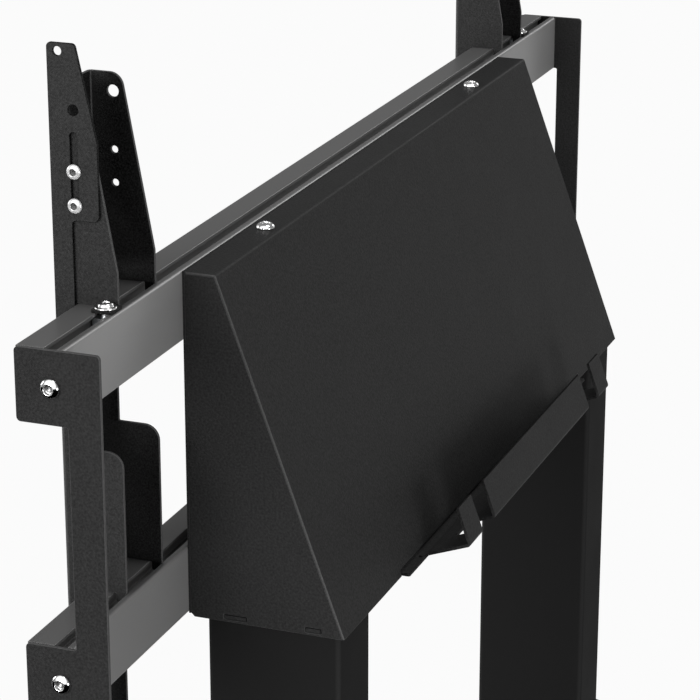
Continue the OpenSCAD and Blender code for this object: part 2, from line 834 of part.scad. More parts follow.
// Outline of a strip's flange, in the head frame: its two tabs drop into the slots of the rails
function flange_outline() =
    let (
        back = flange_reach,
        tab_front = slot_y + 2.4,
        tab_rear = slot_y + slot_w - 0.6,
        tab_depth = slot_lip + 4,
        tab_r = 1.5,
        low = -rail_pitch,
        upper_foot = -rail_h - flange_drop,
        under = low - rail_h - 10,
        foot = -strip_down,
        foot_rise = 122
    )
    [
        [-strip_front, strip_up, 2], [-strip_front, foot, 2], [-4, foot, 12],
        [back, foot + foot_rise, 10], [back, under, 8], [strip_skin, under, 0],
        [strip_skin, low + slide_gap, 0], [tab_front, low + slide_gap, 0],
        [tab_front, low - tab_depth, tab_r], [tab_rear, low - tab_depth, tab_r],
        [tab_rear, low + slide_gap, 0], [back, low + slide_gap, 0],
        [back, upper_foot, 14], [strip_skin, upper_foot, 0],
        [strip_skin, slide_gap, 0], [tab_front, slide_gap, 0], [tab_front, -tab_depth, tab_r],
        [tab_rear, -tab_depth, tab_r], [tab_rear, slide_gap, 0], [back, slide_gap, 0],
        [back, 30, 6], [10, strip_up, 13]
    ];

// Folded strip that carries the screen; the outer flange has the foot for the clamp bolt
module strip(side) {
    half = strip_w / 2;
    foot_d = 20;
    foot_reach = clamp_out + 9.5;
    bend_relief_r = 1.5;
    across = strip_w + 2 * cut;
    color(powder_black) at_strip(side) difference() {
        union() {
            for (x = [-half, half - strip_t]) side_sheet(x, strip_t) polygon(outline(flange_outline()));
            translate([-half, -strip_front, -strip_down])
                cube([strip_w, strip_t, strip_up + strip_down]);
            translate([half - eps, slot_mid - foot_d / 2, slide_gap])
                cube([foot_reach, foot_d, clamp_foot_t]);
        }
        for (z = screw_heights)
            translate([-half - cut, big_hole_y, z]) drill_x(screw_r + bolt_play, across);
        translate([-half - cut, big_hole_y, big_hole_up]) drill_x(big_hole_r, across);
        translate([-half - cut, strip_skin, slide_gap]) drill_x(bend_relief_r, across);
        translate([half + clamp_out, slot_mid, slide_gap - cut])
            drill_z(bolt_r + pin_play, clamp_foot_t + 2 * cut);
        for (z = screen_hole_steps) translate([0, -strip_front - cut, strip_mid + z])
            drill_y(screen_hole_r, strip_t + 2 * cut);
    }
}

module strip_right() { strip(1); }
module strip_left() { strip(-1); }

// Plate that lengthens a strip upward, held by two screws in one long slot
module extension(side) {
    plate_x = strip_w / 2 + slide_gap;
    front = -strip_front + 1.5;
    back = 23.8;
    foot = -60;
    step_z = screw_low - step_drop;
    back_top = screw_low + back_rise;
    slot_half = screw_r + slide_gap;
    slot_foot = screw_low - screw_r - 0.6 + slot_half;
    slot_top = screw_low + screw_pitch + 33 - slot_half;
    dark_hole_r = 4.7;
    top_hole_r = 3.9;
    color(powder_black) at_strip(side) difference() {
        side_sheet(plate_x, strip_t) polygon(outline([
            [front, foot, 3], [-1, foot, 3], [-1, step_z, 4], [back, step_z, 6],
            [back, back_top, 8], [6, extension_up, 4], [front, extension_up, 4]
        ]));
        side_sheet(plate_x - cut, strip_t + 2 * cut) {
            translate([big_hole_y - slot_half, slot_foot])
                square([2 * slot_half, slot_top - slot_foot]);
            for (z = [slot_foot, slot_top]) translate([big_hole_y, z]) circle(slot_half);
            translate([big_hole_y + 0.6, big_hole_up + 1]) circle(dark_hole_r);
            translate([-9.8, extension_up - 7]) circle(top_hole_r);
        }
    }
}

module extension_right() { extension(1); }
module extension_left() { extension(-1); }

// Screws of an extension plate with their nuts inside the strip
module extension_screws(side) {
    seat_x = strip_w / 2 + 2 * slide_gap + strip_t;
    nut_t = 5;
    nut_x = strip_w / 2 - strip_t - nut_t;
    color(bright) at_strip(side) for (z = screw_heights) {
        translate([seat_x, big_hole_y, z]) rotate([0, 90, 0])
            button_bolt(screw_r, seat_x - nut_x + 1, screw_r * 2.15, screw_r * 1.25);
        translate([nut_x, big_hole_y, z]) rotate([0, 90, 0]) difference() {
            cylinder(r = screw_r * hex_head_r, h = nut_t, $fn = 6);
            translate([0, 0, -cut]) drill_z(screw_r - eps, nut_t + 2 * cut);
        }
    }
}

module extension_screws_right() { extension_screws(1); }
module extension_screws_left() { extension_screws(-1); }

// Bolt that clamps a strip to the upper rail
module clamp_bolt(side) {
    seat_z = clamp_foot_top + slide_gap;
    color(bright) at_strip(side) translate([strip_w / 2 + clamp_out, slot_mid, seat_z])
        button_bolt(bolt_r, seat_z + slot_lip + slot_depth - 1.5, bolt_r * 1.95, bolt_r * 1.1);
}

module clamp_bolt_right() { clamp_bolt(1); }
module clamp_bolt_left() { clamp_bolt(-1); }

// Nut that slides in the chamber of the upper rail
module slot_nut(side) {
    nut_x = 20;
    nut_y = 16;
    nut_t = slot_depth - 2.5;
    nut_z = -slot_lip - slide_gap - nut_t;
    color(zinc) at_strip(side) translate([strip_w / 2 + clamp_out, slot_mid, nut_z]) difference() {
        translate([-nut_x / 2, -nut_y / 2, 0]) cube([nut_x, nut_y, nut_t]);
        translate([0, 0, -cut]) drill_z(bolt_r + pin_play, nut_t + 2 * cut);
    }
}

module slot_nut_right() { slot_nut(1); }
module slot_nut_left() { slot_nut(-1); }

// Standing tube of a column, welded to the plate that bolts it to a leg
module outer_tube(side) {
    color(tube_black) at_column(side) difference() {
        union() {
            translate([0, 0, stand_foot - eps])
                rect_tube(stand_w, stand_d, stand_wall, stand_r, stand_top - stand_foot);
            translate([-leg_w / 2, -foot_plate_d / 2, leg_top])
                cube([leg_w, foot_plate_d, foot_plate_t]);
        }
        for (dx = foot_bolt_xs, dy = foot_bolt_ys) translate([dx, dy, leg_top - cut])
            drill_z(bolt_r + bolt_play, foot_plate_t + 2 * cut);
    }
}

module outer_tube_right() { outer_tube(1); }
module outer_tube_left() { outer_tube(-1); }

// Plastic collars that guide the moving tubes at the top of the standing tubes
module guide_collars() {
    rim_h = 10;
    plug_h = 36;
    plug_w = stand_in_w - 2 * seam;
    plug_d = stand_in_d - 2 * seam;
    bore_w = tube_w + 2 * slide_gap;
    bore_d = tube_d + 2 * slide_gap;
    color(plastic) for (side = [-1, 1]) at_column(side) translate([0, 0, stand_top]) difference() {
        union() {
            linear_extrude(rim_h) round_rect(stand_w, stand_d, stand_r);
            translate([0, 0, -plug_h])
                linear_extrude(plug_h + eps) round_rect(plug_w, plug_d, stand_in_r - seam);
        }
        translate([0, 0, -plug_h - cut])
            linear_extrude(plug_h + rim_h + 2 * cut) round_rect(bore_w, bore_d, tube_r + slide_gap);
    }
}

// Leg of the base, a rectangular tube that carries one column and two castors
module leg(side) {
    inner_face = -side * leg_w / 2;
    deep = leg_wall + 2 * cut;
    color(powder_black) at_column(side) difference() {
        translate([0, leg_rear, leg_mid_z]) rotate([90, 0, 0])
            rect_tube(leg_w, leg_h, leg_wall, leg_r, leg_front + leg_rear);
        for (dx = foot_bolt_xs, dy = foot_bolt_ys)
            translate([dx, dy, leg_top - leg_wall - cut]) drill_z(bolt_r + pin_play, deep);
        for (y = [castor_front_y, castor_rear_y])
            for (dx = [-castor_bolt_x, castor_bolt_x], dy = [-castor_bolt_y, castor_bolt_y])
                translate([dx, y + dy, leg_under - cut]) drill_z(castor_bolt_r + pin_play, deep);
        for (dy = [-beam_bolt_y, beam_bolt_y])
            translate([inner_face - side * cut, dy, leg_mid_z])
                rotate([0, side * 90, 0]) drill_z(rail_bolt_r + pin_play, deep);
    }
}

module leg_right() { leg(1); }
module leg_left() { leg(-1); }

// Plastic caps in the ends of the legs
module leg_caps() {
    plug = castor_inset - castor_bolt_y - castor_bolt_r - 3;
    plug_w = leg_w - 2 * leg_wall - 2 * seam;
    plug_h = leg_h - 2 * leg_wall - 2 * seam;
    color(plastic) for (side = [-1, 1], e = [[-leg_front, 90], [leg_rear, -90]])
        at_column(side) translate([0, e[0], leg_mid_z]) rotate([e[1], 0, 0]) {
            linear_extrude(cap_out) round_rect(leg_w, leg_h, leg_r);
            translate([0, 0, -plug]) linear_extrude(plug + eps) round_rect(plug_w, plug_h, 2);
        }
}

// Cross beam between the legs, with a plate at each end
module cross_beam() {
    plate_d = beam_d + 2 * beam_plate_out;
    color(powder_black) translate([0, column_y, leg_mid_z]) difference() {
        union() {
            translate([-beam_x + beam_plate_t - eps, 0, 0]) rotate([90, 0, 90])
                rect_tube(beam_d, beam_h, leg_wall, leg_r, 2 * (beam_x - beam_plate_t + eps));
            for (x = [-beam_x, beam_x - beam_plate_t])
                translate([x, -plate_d / 2, -beam_h / 2]) cube([beam_plate_t, plate_d, beam_h]);
        }
        for (s = [-1, 1], dy = [-beam_bolt_y, beam_bolt_y])
            translate([s * (beam_x - beam_plate_t - cut), dy, 0])
                rotate([0, s * 90, 0]) drill_z(rail_bolt_r + bolt_play, beam_plate_t + 2 * cut);
    }
}

// Bolts of the column feet and of the cross beam
module base_bolts() {
    reach = 6;
    color(zinc) for (side = [-1, 1]) at_column(side) {
        for (dx = foot_bolt_xs, dy = foot_bolt_ys) translate([dx, dy, stand_foot])
            hex_bolt(bolt_r, foot_plate_t + leg_wall + reach);
        for (dy = [-beam_bolt_y, beam_bolt_y])
            translate([-side * (leg_w / 2 + beam_plate_t), dy, leg_mid_z])
                rotate([0, -side * 90, 0]) hex_bolt(rail_bolt_r, beam_plate_t + leg_wall + reach);
    }
}

// Fixed top plates of the castors with their ball races and swivel pins
module castor_plates() {
    pin_head_t = 4;
    pin_z = crown_foot - slide_gap - pin_head_t;
    color(zinc) for (i = [0 : 3]) at_castor(i) difference() {
        union() {
            translate([0, 0, castor_h - castor_plate_t]) linear_extrude(castor_plate_t)
                round_rect(leg_w - 4, castor_plate_d, 6);
            translate([0, 0, race_foot]) cylinder(r = race_r, h = race_h + eps);
            translate([0, 0, pin_z]) cylinder(r = swivel_r, h = race_foot - pin_z + eps);
            translate([0, 0, pin_z]) cylinder(r = swivel_head_r, h = pin_head_t);
        }
        for (dx = [-castor_bolt_x, castor_bolt_x], dy = [-castor_bolt_y, castor_bolt_y])
            translate([dx, dy, castor_h - castor_plate_t - cut])
                drill_z(castor_bolt_r + bolt_play, castor_plate_t + 2 * cut);
    }
}

// Screws that hold the castors under the legs
module castor_screws() {
    shank = castor_plate_t + leg_wall + 6;
    color(zinc) for (i = [0 : 3]) at_castor(i)
        for (dx = [-castor_bolt_x, castor_bolt_x], dy = [-castor_bolt_y, castor_bolt_y])
            translate([dx, dy, castor_h - castor_plate_t])
                rotate([180, 0, 0]) hex_bolt(castor_bolt_r, shank);
}

// Outline of a fork's cheek, from its swivel axis: it widens at the rear where a pedal is hinged
function cheek_outline() =
    let (front = -16, axle_y = castor_trail, rear = pedal_y + 10)
    [
        [front, crown_top, 3], [front, crown_foot - 7, 8], [axle_y - 14, wheel_r, 6],
        [axle_y - 10, wheel_r - 12, 8], [axle_y + 10, wheel_r - 12, 8],
        [axle_y + 16, wheel_r + 2, 10], [rear, pedal_z - 8, 6],
        [rear, crown_top - 5, 5], [pedal_y, crown_top, 3]
    ];

// Fork of a castor with its axle; the wheel trails toward the rear of the trolley
module castor_fork(i) {
    nut_t = 5;
    axle_end = fork_in + fork_t + 4;
    crown_front = -16;
    crown_len = 40;
    out = fork_in + fork_t;
    color(zinc) at_castor(i) difference() {
        union() {
            translate([0, 0, crown_foot]) cylinder(r = crown_r, h = crown_t);
            translate([-out, crown_front, crown_foot]) cube([2 * out, crown_len, crown_t]);
            for (x = [-out, fork_in]) side_sheet(x, fork_t) polygon(outline(cheek_outline()));
            translate([-axle_end, castor_trail, wheel_r]) drill_x(axle_r, 2 * axle_end);
            for (x = [-out - nut_t, out]) translate([x, castor_trail, wheel_r])
                rotate([0, 90, 0]) cylinder(r = axle_r * 1.7, h = nut_t, $fn = 6);
        }
        translate([0, 0, crown_foot - cut]) drill_z(swivel_r + pin_play, crown_t + 2 * cut);
        if (i > 1) for (x = [-out, fork_in])
            translate([x - cut, pedal_y, pedal_z]) drill_x(pedal_pin_r + pin_play, fork_t + 2 * cut);
    }
}

module castor_fork_front_right() { castor_fork(0); }
module castor_fork_front_left() { castor_fork(1); }
module castor_fork_rear_right() { castor_fork(2); }
module castor_fork_rear_left() { castor_fork(3); }

// Hub of a castor wheel, dished on both sides
module castor_wheel(i) {
    boss_r = 14;
    boss_w = 2 * (fork_in - slide_gap);
    rim_w = wheel_w - 6;
    rim_t = 6;
    web_half = 5;
    color(plastic) at_castor(i) translate([0, castor_trail, wheel_r]) rotate([0, 90, 0])
        difference() {
            union() {
                cylinder(r = hub_r - pin_play, h = rim_w, center = true);
                cylinder(r = boss_r, h = boss_w, center = true);
            }
            for (s = [-1, 1]) translate([0, 0, s * (web_half + wheel_w / 2)]) difference() {
                cylinder(r = hub_r - rim_t, h = wheel_w, center = true);
                cylinder(r = boss_r, h = wheel_w + cut, center = true);
            }
            cylinder(r = axle_r + pin_play, h = 2 * wheel_w, center = true);
        }
}

module castor_wheel_front_right() { castor_wheel(0); }
module castor_wheel_front_left() { castor_wheel(1); }
module castor_wheel_rear_right() { castor_wheel(2); }
module castor_wheel_rear_left() { castor_wheel(3); }

// Tyre pressed on the hub, with round shoulders
module castor_tyre(i) {
    half = wheel_w / 2;
    shoulder = 5;
    color(rubber) at_castor(i) translate([0, castor_trail, wheel_r]) rotate([0, 90, 0])
        rotate_extrude($fn = 96) polygon(outline([
            [hub_r, -half, 0], [hub_r, half, 0],
            [wheel_r, half, shoulder], [wheel_r, -half, shoulder]
        ]));
}

module castor_tyre_front_right() { castor_tyre(0); }
module castor_tyre_front_left() { castor_tyre(1); }
module castor_tyre_rear_right() { castor_tyre(2); }
module castor_tyre_rear_left() { castor_tyre(3); }

// Brake pedal of a rear castor, hinged between the cheeks of the fork
module brake_pedal(i) {
    blade_w = 2 * (fork_in - slide_gap);
    pad_w = blade_w + 18;
    tip = [[pedal_len - 4, 9], [pedal_len, 6], [pedal_len - 2, 3]];
    blade = concat([[0, 6]], tip, [[16, -1], [10, -10], [3, -9], [-3, -5]]);
    pad = concat([[30, 7.5]], tip, [[30, 1]]);
    color(plastic) at_castor(i) translate([0, pedal_y, pedal_z]) {
        rotate([0, 90, 0]) cylinder(r = pedal_pin_r, h = 2 * (fork_in + fork_t), center = true);
        rotate([0, 90, 0]) cylinder(r = 6, h = blade_w, center = true);
        side_sheet(-blade_w / 2, blade_w) polygon(blade);
        side_sheet(-pad_w / 2, pad_w) polygon(pad);
    }
}

module brake_pedal_right() { brake_pedal(2); }
module brake_pedal_left() { brake_pedal(3); }

rail_upper();
rail_lower();
end_bracket_right();
end_bracket_left();
button_bolts();
box_cover();
box_side_right();
box_side_left();
box_floor();
box_back();
ledge();
ledge_screws();
carrier_right();
carrier_left();
carrier_bolts();
column_bolts();
inner_tube_right();
inner_tube_left();
glide_shoes();
lift_motors();
lift_spindles();
spindle_nuts();
push_tubes();
control_unit();
power_inlet();
strip_right();
strip_left();
extension_right();
extension_left();
extension_screws_right();
extension_screws_left();
clamp_bolt_right();
clamp_bolt_left();
slot_nut_right();
slot_nut_left();
outer_tube_right();
outer_tube_left();
guide_collars();
leg_right();
leg_left();
leg_caps();
cross_beam();
base_bolts();
castor_plates();
castor_screws();
castor_fork_front_right();
castor_fork_front_left();
castor_fork_rear_right();
castor_fork_rear_left();
castor_wheel_front_right();
castor_wheel_front_left();
castor_wheel_rear_right();
castor_wheel_rear_left();
castor_tyre_front_right();
castor_tyre_front_left();
castor_tyre_rear_right();
castor_tyre_rear_left();
brake_pedal_right();
brake_pedal_left();
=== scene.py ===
import json
import math

import bmesh
import bpy
import numpy as np
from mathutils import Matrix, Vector
from mathutils.geometry import tessellate_polygon


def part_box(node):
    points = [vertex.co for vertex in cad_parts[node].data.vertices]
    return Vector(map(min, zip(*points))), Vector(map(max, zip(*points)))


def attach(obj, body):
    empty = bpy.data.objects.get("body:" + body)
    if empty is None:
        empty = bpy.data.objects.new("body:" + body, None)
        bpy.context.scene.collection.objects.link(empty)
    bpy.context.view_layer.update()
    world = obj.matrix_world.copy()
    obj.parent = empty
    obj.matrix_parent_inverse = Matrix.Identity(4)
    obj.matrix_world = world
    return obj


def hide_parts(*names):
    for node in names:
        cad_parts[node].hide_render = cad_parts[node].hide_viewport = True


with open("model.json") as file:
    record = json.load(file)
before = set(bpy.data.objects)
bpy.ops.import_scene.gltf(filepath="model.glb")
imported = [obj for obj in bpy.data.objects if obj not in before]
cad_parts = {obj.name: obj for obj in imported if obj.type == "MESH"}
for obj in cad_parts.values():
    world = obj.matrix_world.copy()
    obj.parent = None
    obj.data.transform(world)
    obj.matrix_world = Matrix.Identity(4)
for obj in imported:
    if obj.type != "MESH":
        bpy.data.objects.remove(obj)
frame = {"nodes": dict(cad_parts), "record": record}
nodes = frame["nodes"]
nodeSlot = {part["node"]: part["material_slot"] for part in frame["record"]["subparts"]}
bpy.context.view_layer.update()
print("stage: frame loaded")

mm = 0.001
railLow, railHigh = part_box("rail_upper")
headPlace = (0.0, railLow.y / mm, railHigh.z / mm)  # head frame: Y from the rails' front, Z from their top
groundPlace = (0.0, 0.0, 0.0)
axisOrder = {"yzx": [2, 0, 1], "zxy": [1, 2, 0]}  # where outline x, y and height go


# Outlines: rows of x, y and the outward normal, counter-clockwise round the sheet and clockwise round a hole

def unitRows(v):
    return v / np.linalg.norm(v, axis=1, keepdims=True)


def outlineOf(corners, arcSteps=8):
    # a corner (x, y, r) becomes centre + r (cos a, sin a), tangent to both its sides
    data = np.array(corners, float)
    p, r = data[:, :2], data[:, 2:]
    back = unitRows(np.roll(p, 1, 0) - p)
    ahead = unitRows(np.roll(p, -1, 0) - p)
    half = 0.5 * np.arccos(np.clip((back * ahead).sum(1, keepdims=True), -1, 1))
    centre = p + unitRows(back + ahead) * r / np.sin(half)
    turn = np.sign(-back[:, :1] * ahead[:, 1:] + back[:, 1:] * ahead[:, :1])
    start = p + back * r / np.tan(half) - centre
    sweep = turn * (np.pi - 2 * half)
    a = np.arctan2(start[:, 1:], start[:, :1]) + sweep * np.linspace(0, 1, arcSteps + 1)
    ray = np.stack([np.cos(a), np.sin(a)], 2)
    points = centre[:, None] + r[:, None] * ray
    return np.concatenate([points, ray * turn[:, None]], 2).reshape(-1, 4)


def ringOf(x, y, r, steps=48, hole=True):
    # circle x + r cos a, y + r sin a, run clockwise for a hole
    a = np.linspace(0, 2 * np.pi, steps, endpoint=False) * (-1 if hole else 1)
    ray = np.stack([np.cos(a), np.sin(a)], 1)
    return np.hstack([[x, y] + r * ray, ray * (-1 if hole else 1)])


def holeOf(corners, arcSteps=8):
    # the same corners, run clockwise
    return outlineOf(corners[::-1], arcSteps)


def rounded(r, points):
    # one corner radius for every point
    return [(x, y, r) for x, y in points]


def rectangle(low, high, r):
    # four corners, counter-clockwise from the low one
    return rounded(r, [(low[0], low[1]), (high[0], low[1]), (high[0], high[1]), (low[0], high[1])])


def centred(width, depth, r):
    return rectangle((-width / 2, -depth / 2), (width / 2, depth / 2), r)


# Parts: a mesh as (points, faces, normals), in millimetres; the normals' fourth column is the painted light
# mask, which each finish's gain turns into painted highlight or painted shade

def sheetOf(loops, height, edge=0.4, steps=3, wallPaintedLight=1.0, arcSteps=0):
    # each loop climbs a quarter circle of radius edge, the wall, and a second quarter circle:
    # inset = edge (1 - sin a), z = edge (1 - cos a), with the flats filled between the loops.
    # The painted light mask is wallPaintedLight on the wall, times sin of the way round each corner where
    # arcSteps is given; it paints highlight along the edges, or shade where it is below 0
    a = np.linspace(0, np.pi / 2, steps + 1)
    inset = edge * (1 - np.sin(np.concatenate([a, a[::-1]])))
    rise = edge * (1 - np.cos(a))
    z = np.concatenate([rise, height - rise[::-1]])
    side = np.sin(np.concatenate([a, a[::-1]]))
    up = np.concatenate([-np.cos(a), np.cos(a[::-1])])
    points, normals, faces, first, caps = [], [], [], 0, [[], []]
    for loop in loops:
        count = len(loop)
        xy = loop[None, :, :2] - inset[:, None, None] * loop[None, :, 2:]
        points.append(np.dstack([xy, np.broadcast_to(z[:, None], xy.shape[:2])]).reshape(-1, 3))
        n = side[:, None, None] * loop[None, :, 2:]
        mask = np.full(n.shape[:2], wallPaintedLight)
        if arcSteps:
            mask = mask * np.sin(np.pi * (np.arange(count) % (arcSteps + 1)) / arcSteps)
        mask[[0, -1]] = 0
        normals.append(np.dstack([n, np.broadcast_to(up[:, None], n.shape[:2]), mask]).reshape(-1, 4))
        i, j = np.meshgrid(np.arange(len(z) - 1), np.arange(count), indexing="ij")
        k = (j + 1) % count
        quad = np.stack([i * count + j, i * count + k, (i + 1) * count + k, (i + 1) * count + j], 2)
        faces += (quad.reshape(-1, 4) + first).tolist()
        caps[0].append(np.arange(count) + first)
        caps[1].append(np.arange(count) + first + (len(z) - 1) * count)
        first += len(z) * count
    points, normals = np.vstack(points), np.vstack(normals)
    for cap, facing in zip(caps, (-1, 1)):
        index = np.concatenate(cap)
        flat = [[Vector((*xy, 0)) for xy in points[c, :2]] for c in cap]
        tri = index[np.array(tessellate_polygon(flat))]
        u, v = points[tri[:, 1]] - points[tri[:, 0]], points[tri[:, 2]] - points[tri[:, 0]]
        turned = (u[:, 0] * v[:, 1] - u[:, 1] * v[:, 0]) * facing < 0
        tri[turned] = tri[turned][:, ::-1]
        faces += tri.tolist()
    return points, faces, normals


def turnedOf(profile, steps=48, hexRows=(), mask=0.0, closed=False):
    # rows (r, z, nr, nz) turned round Z; in hexRows the radius is r / cos (angle from the flat's middle);
    # mask is the painted light mask of all rows or of each; the last row of a closed profile joins its first
    profile = np.array(profile, float)
    a = np.linspace(0, 2 * np.pi, steps, endpoint=False)
    flat = np.mod(a + np.pi / 6, np.pi / 3) - np.pi / 6
    hexShare = np.isin(np.arange(len(profile)), hexRows)[:, None]
    r = profile[:, :1] * np.where(hexShare, 1 / np.cos(flat), 1)
    points = np.dstack([r * np.cos(a), r * np.sin(a), np.broadcast_to(profile[:, 1:2], r.shape)])
    n = np.dstack([profile[:, 2:3] * np.cos(a), profile[:, 2:3] * np.sin(a),
                   np.broadcast_to(profile[:, 3:4], r.shape),
                   np.broadcast_to(np.broadcast_to(mask, len(profile))[:, None], r.shape)])
    i, j = np.meshgrid(np.arange(len(profile) - (not closed)), np.arange(steps), indexing="ij")
    k, up = (j + 1) % steps, (i + 1) % len(profile)
    quad = np.stack([i * steps + j, i * steps + k, up * steps + k, up * steps + j], 2)
    return points.reshape(-1, 3), quad.reshape(-1, 4).tolist(), n.reshape(-1, 4)


def ringProfile(corners):
    # closed rows for turnedOf from (r, z, corner radius), taken counter-clockwise in r, z
    loop = outlineOf(corners, 6)
    return turnedOf(loop, 96, closed=True)


def oriented(part, axes):
    # the outline's x, y and height become the axes that axisOrder names
    points, faces, normals = part
    order = axisOrder[axes]
    return points[:, order], faces, normals[:, order + [3]]


def moved(part, x=0.0, y=0.0, z=0.0):
    return part[0] + [x, y, z], part[1], part[2]


def mirroredX(part):
    # x becomes -x, and each face is run the other way round, so it still points outwards
    points, faces, normals = part
    return points * [-1, 1, 1], [f[::-1] for f in faces], normals * [-1, 1, 1, 1]


def joined(parts):
    # points one after the other, and each face counted on from the parts before
    first, faces = 0, []
    for points, own, _ in parts:
        faces += [[v + first for v in f] for f in own]
        first += len(points)
    return np.vstack([p[0] for p in parts]), faces, np.vstack([p[2] for p in parts])


def linked(name, data):
    holder = bpy.data.objects.new(name, data)
    bpy.context.scene.collection.objects.link(holder)
    return holder


def makePiece(node, part, body, place=headPlace, finish=None):
    # one object with its place in its mesh, riding on a body in the stead of its CAD node
    points, faces, normals = part
    slotName = nodeSlot[node]
    mesh = bpy.data.meshes.new(node + "_skin")
    mesh.from_pydata((points + place) * mm, [], faces)
    mesh.shade_smooth()
    mesh.normals_split_custom_set_from_vertices(unitRows(normals[:, :3]))
    mesh.attributes.new("paintedLightMask", "FLOAT", "POINT").data.foreach_set("value", normals[:, 3])
    mesh.materials.append(finish or slotFinish[slotName])
    piece = linked(node + "_skin", mesh)
    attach(piece, body)
    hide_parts(node)


# Folded sheet: a flat pattern (u, w) of thickness t is cut along its bends and laid on a path

def foldPath(corners, radii):
    # straight runs joined by arcs: at a corner of turn q and radius r the run stops r tan(q/2) short
    p = np.array(corners, float)
    run = np.diff(p, axis=0)
    length = np.linalg.norm(run, axis=1)
    heading = np.unwrap(np.arctan2(run[:, 1], run[:, 0]))
    turn = np.diff(heading)
    r = np.array(radii, float)
    short = r * np.tan(np.abs(turn) / 2)
    before, after = np.concatenate([[0], short]), np.concatenate([short, [0]])
    return {"p": p, "heading": heading, "turn": turn, "r": r, "short": short,
            "straight": length - before - after, "before": before}


def pathStarts(path):
    # u at the start of each straight run, and u at both ends of each bend
    arcs = path["r"] * np.abs(path["turn"])
    starts = np.concatenate([[0], np.cumsum(path["straight"][:-1] + arcs)])
    ends = starts + path["straight"]
    return starts, ends


def onPath(path, u):
    # point and heading of the path's middle line at each u
    starts, ends = pathStarts(path)
    place, angle = np.zeros((len(u), 2)), np.zeros(len(u))
    for k, begin in enumerate(starts):
        d = np.array([math.cos(path["heading"][k]), math.sin(path["heading"][k])])
        base = path["p"][k] + d * path["before"][k]
        here = (u >= begin - 1e-6) | (k == 0)
        place[here] = base + (u[here, None] - begin) * d
        angle[here] = path["heading"][k]
        if k < len(path["turn"]):
            q, r = path["turn"][k], path["r"][k]
            bent = u > ends[k]
            a = np.minimum((u[bent] - ends[k]) / r, abs(q)) * np.sign(q)
            foot = base + path["straight"][k] * d
            centre = foot + np.array([-d[1], d[0]]) * r * np.sign(q)
            heading = path["heading"][k] + a
            place[bent] = centre + r * np.sign(q) * np.stack([np.sin(heading), -np.cos(heading)], 1)
            angle[bent] = heading
    return place, angle


def foldedOf(part, path, thick, plane, bendSteps=6, twoSided=False, foldPaintedLight=0.0):
    # the flat part is cut at every bend line, then (u, w, t) goes to path(u) + (t - thick/2) n, w
    mesh = bpy.data.meshes.new("flat")
    mesh.from_pydata(part[0], [], part[1])
    flatNormals = mesh.attributes.new("flatNormal", "FLOAT_VECTOR", "POINT")
    flatNormals.data.foreach_set("vector", part[2][:, :3].ravel())
    mesh.attributes.new("paintedLightMask", "FLOAT", "POINT").data.foreach_set("value", part[2][:, 3])
    bm = bmesh.new()
    bm.from_mesh(mesh)
    starts, ends = pathStarts(path)
    lines = np.concatenate([np.linspace(a, b, bendSteps + 1) for a, b in zip(ends[:-1], starts[1:])])
    for u in np.concatenate([lines, -lines]) if twoSided else lines:
        geom = bm.verts[:] + bm.edges[:] + bm.faces[:]
        bmesh.ops.bisect_plane(bm, geom=geom, dist=1e-4, plane_co=(u, 0, 0), plane_no=(1, 0, 0))
    bm.to_mesh(mesh)
    bm.free()
    count = len(mesh.vertices)
    flat, n, mask = np.zeros(count * 3), np.zeros(count * 3), np.zeros(count)
    mesh.vertices.foreach_get("co", flat)
    mesh.attributes["flatNormal"].data.foreach_get("vector", n)
    mesh.attributes["paintedLightMask"].data.foreach_get("value", mask)
    faces = [list(f.vertices) for f in mesh.polygons]
    bpy.data.meshes.remove(mesh)
    flat, n = flat.reshape(-1, 3), n.reshape(-1, 3)
    side = np.where(flat[:, 0] < 0, -1, 1) if twoSided else np.ones(len(flat))
    u = np.abs(flat[:, 0]) if twoSided else flat[:, 0]
    place, angle = onPath(path, u)
    # painted highlight along each bend: foldPaintedLight at the bend's middle, less towards its ends
    for a, b in zip(ends[:-1], starts[1:]):
        bend = np.clip((u - a) / (b - a), 0, 1)
        mask = np.where(bend * (1 - bend) > 0, np.maximum(mask, foldPaintedLight * np.sin(np.pi * bend)), mask)
    out = -1 if plane == "xy" else 1  # the sheet's outer face lies right of an XY path and left of a YZ path
    along = np.stack([np.cos(angle), np.sin(angle)], 1)
    across = np.stack([-np.sin(angle), np.cos(angle)], 1) * out
    at = place + (flat[:, 2:] - thick / 2) * across
    dirs = (n[:, :1] * side[:, None]) * along + n[:, 2:] * across
    if plane == "xy":
        points = np.stack([at[:, 0] * side, at[:, 1], flat[:, 1]], 1)
        normals = np.stack([dirs[:, 0] * side, dirs[:, 1], n[:, 1], mask], 1)
    else:
        points = np.stack([-flat[:, 1], at[:, 0], at[:, 1]], 1)
        normals = np.stack([-n[:, 1], dirs[:, 0], dirs[:, 1], mask], 1)
    return points, faces, normals


# Finishes

def newGroup(name, inputs):
    # every effect puts out a colour, a roughness and a normal
    group = bpy.data.node_groups.new(name, "ShaderNodeTree")
    for socketName, kind, value in inputs:
        socket = group.interface.new_socket(socketName, in_out="INPUT", socket_type="NodeSocket" + kind)
        if value is not None:
            socket.default_value = value
    for socketName, kind in (("Colour", "Color"), ("Roughness", "Float"), ("Normal", "Vector")):
        group.interface.new_socket(socketName, in_out="OUTPUT", socket_type="NodeSocket" + kind)
    return group, group.nodes.new("NodeGroupInput").outputs, group.nodes.new("NodeGroupOutput").inputs


def addNode(tree, kind, links=None, **settings):
    # links: socket name -> a value, or an output socket of another node
    node = tree.nodes.new("ShaderNode" + kind)
    for key, value in settings.items():
        setattr(node, key, value)
    for key, value in (links or {}).items():
        if isinstance(value, bpy.types.NodeSocket):
            tree.links.new(value, node.inputs[key])
        else:
            node.inputs[key].default_value = value
    return node


def addMath(tree, operation, *values):
    return addNode(tree, "Math", dict(enumerate(values)), operation=operation).outputs[0]


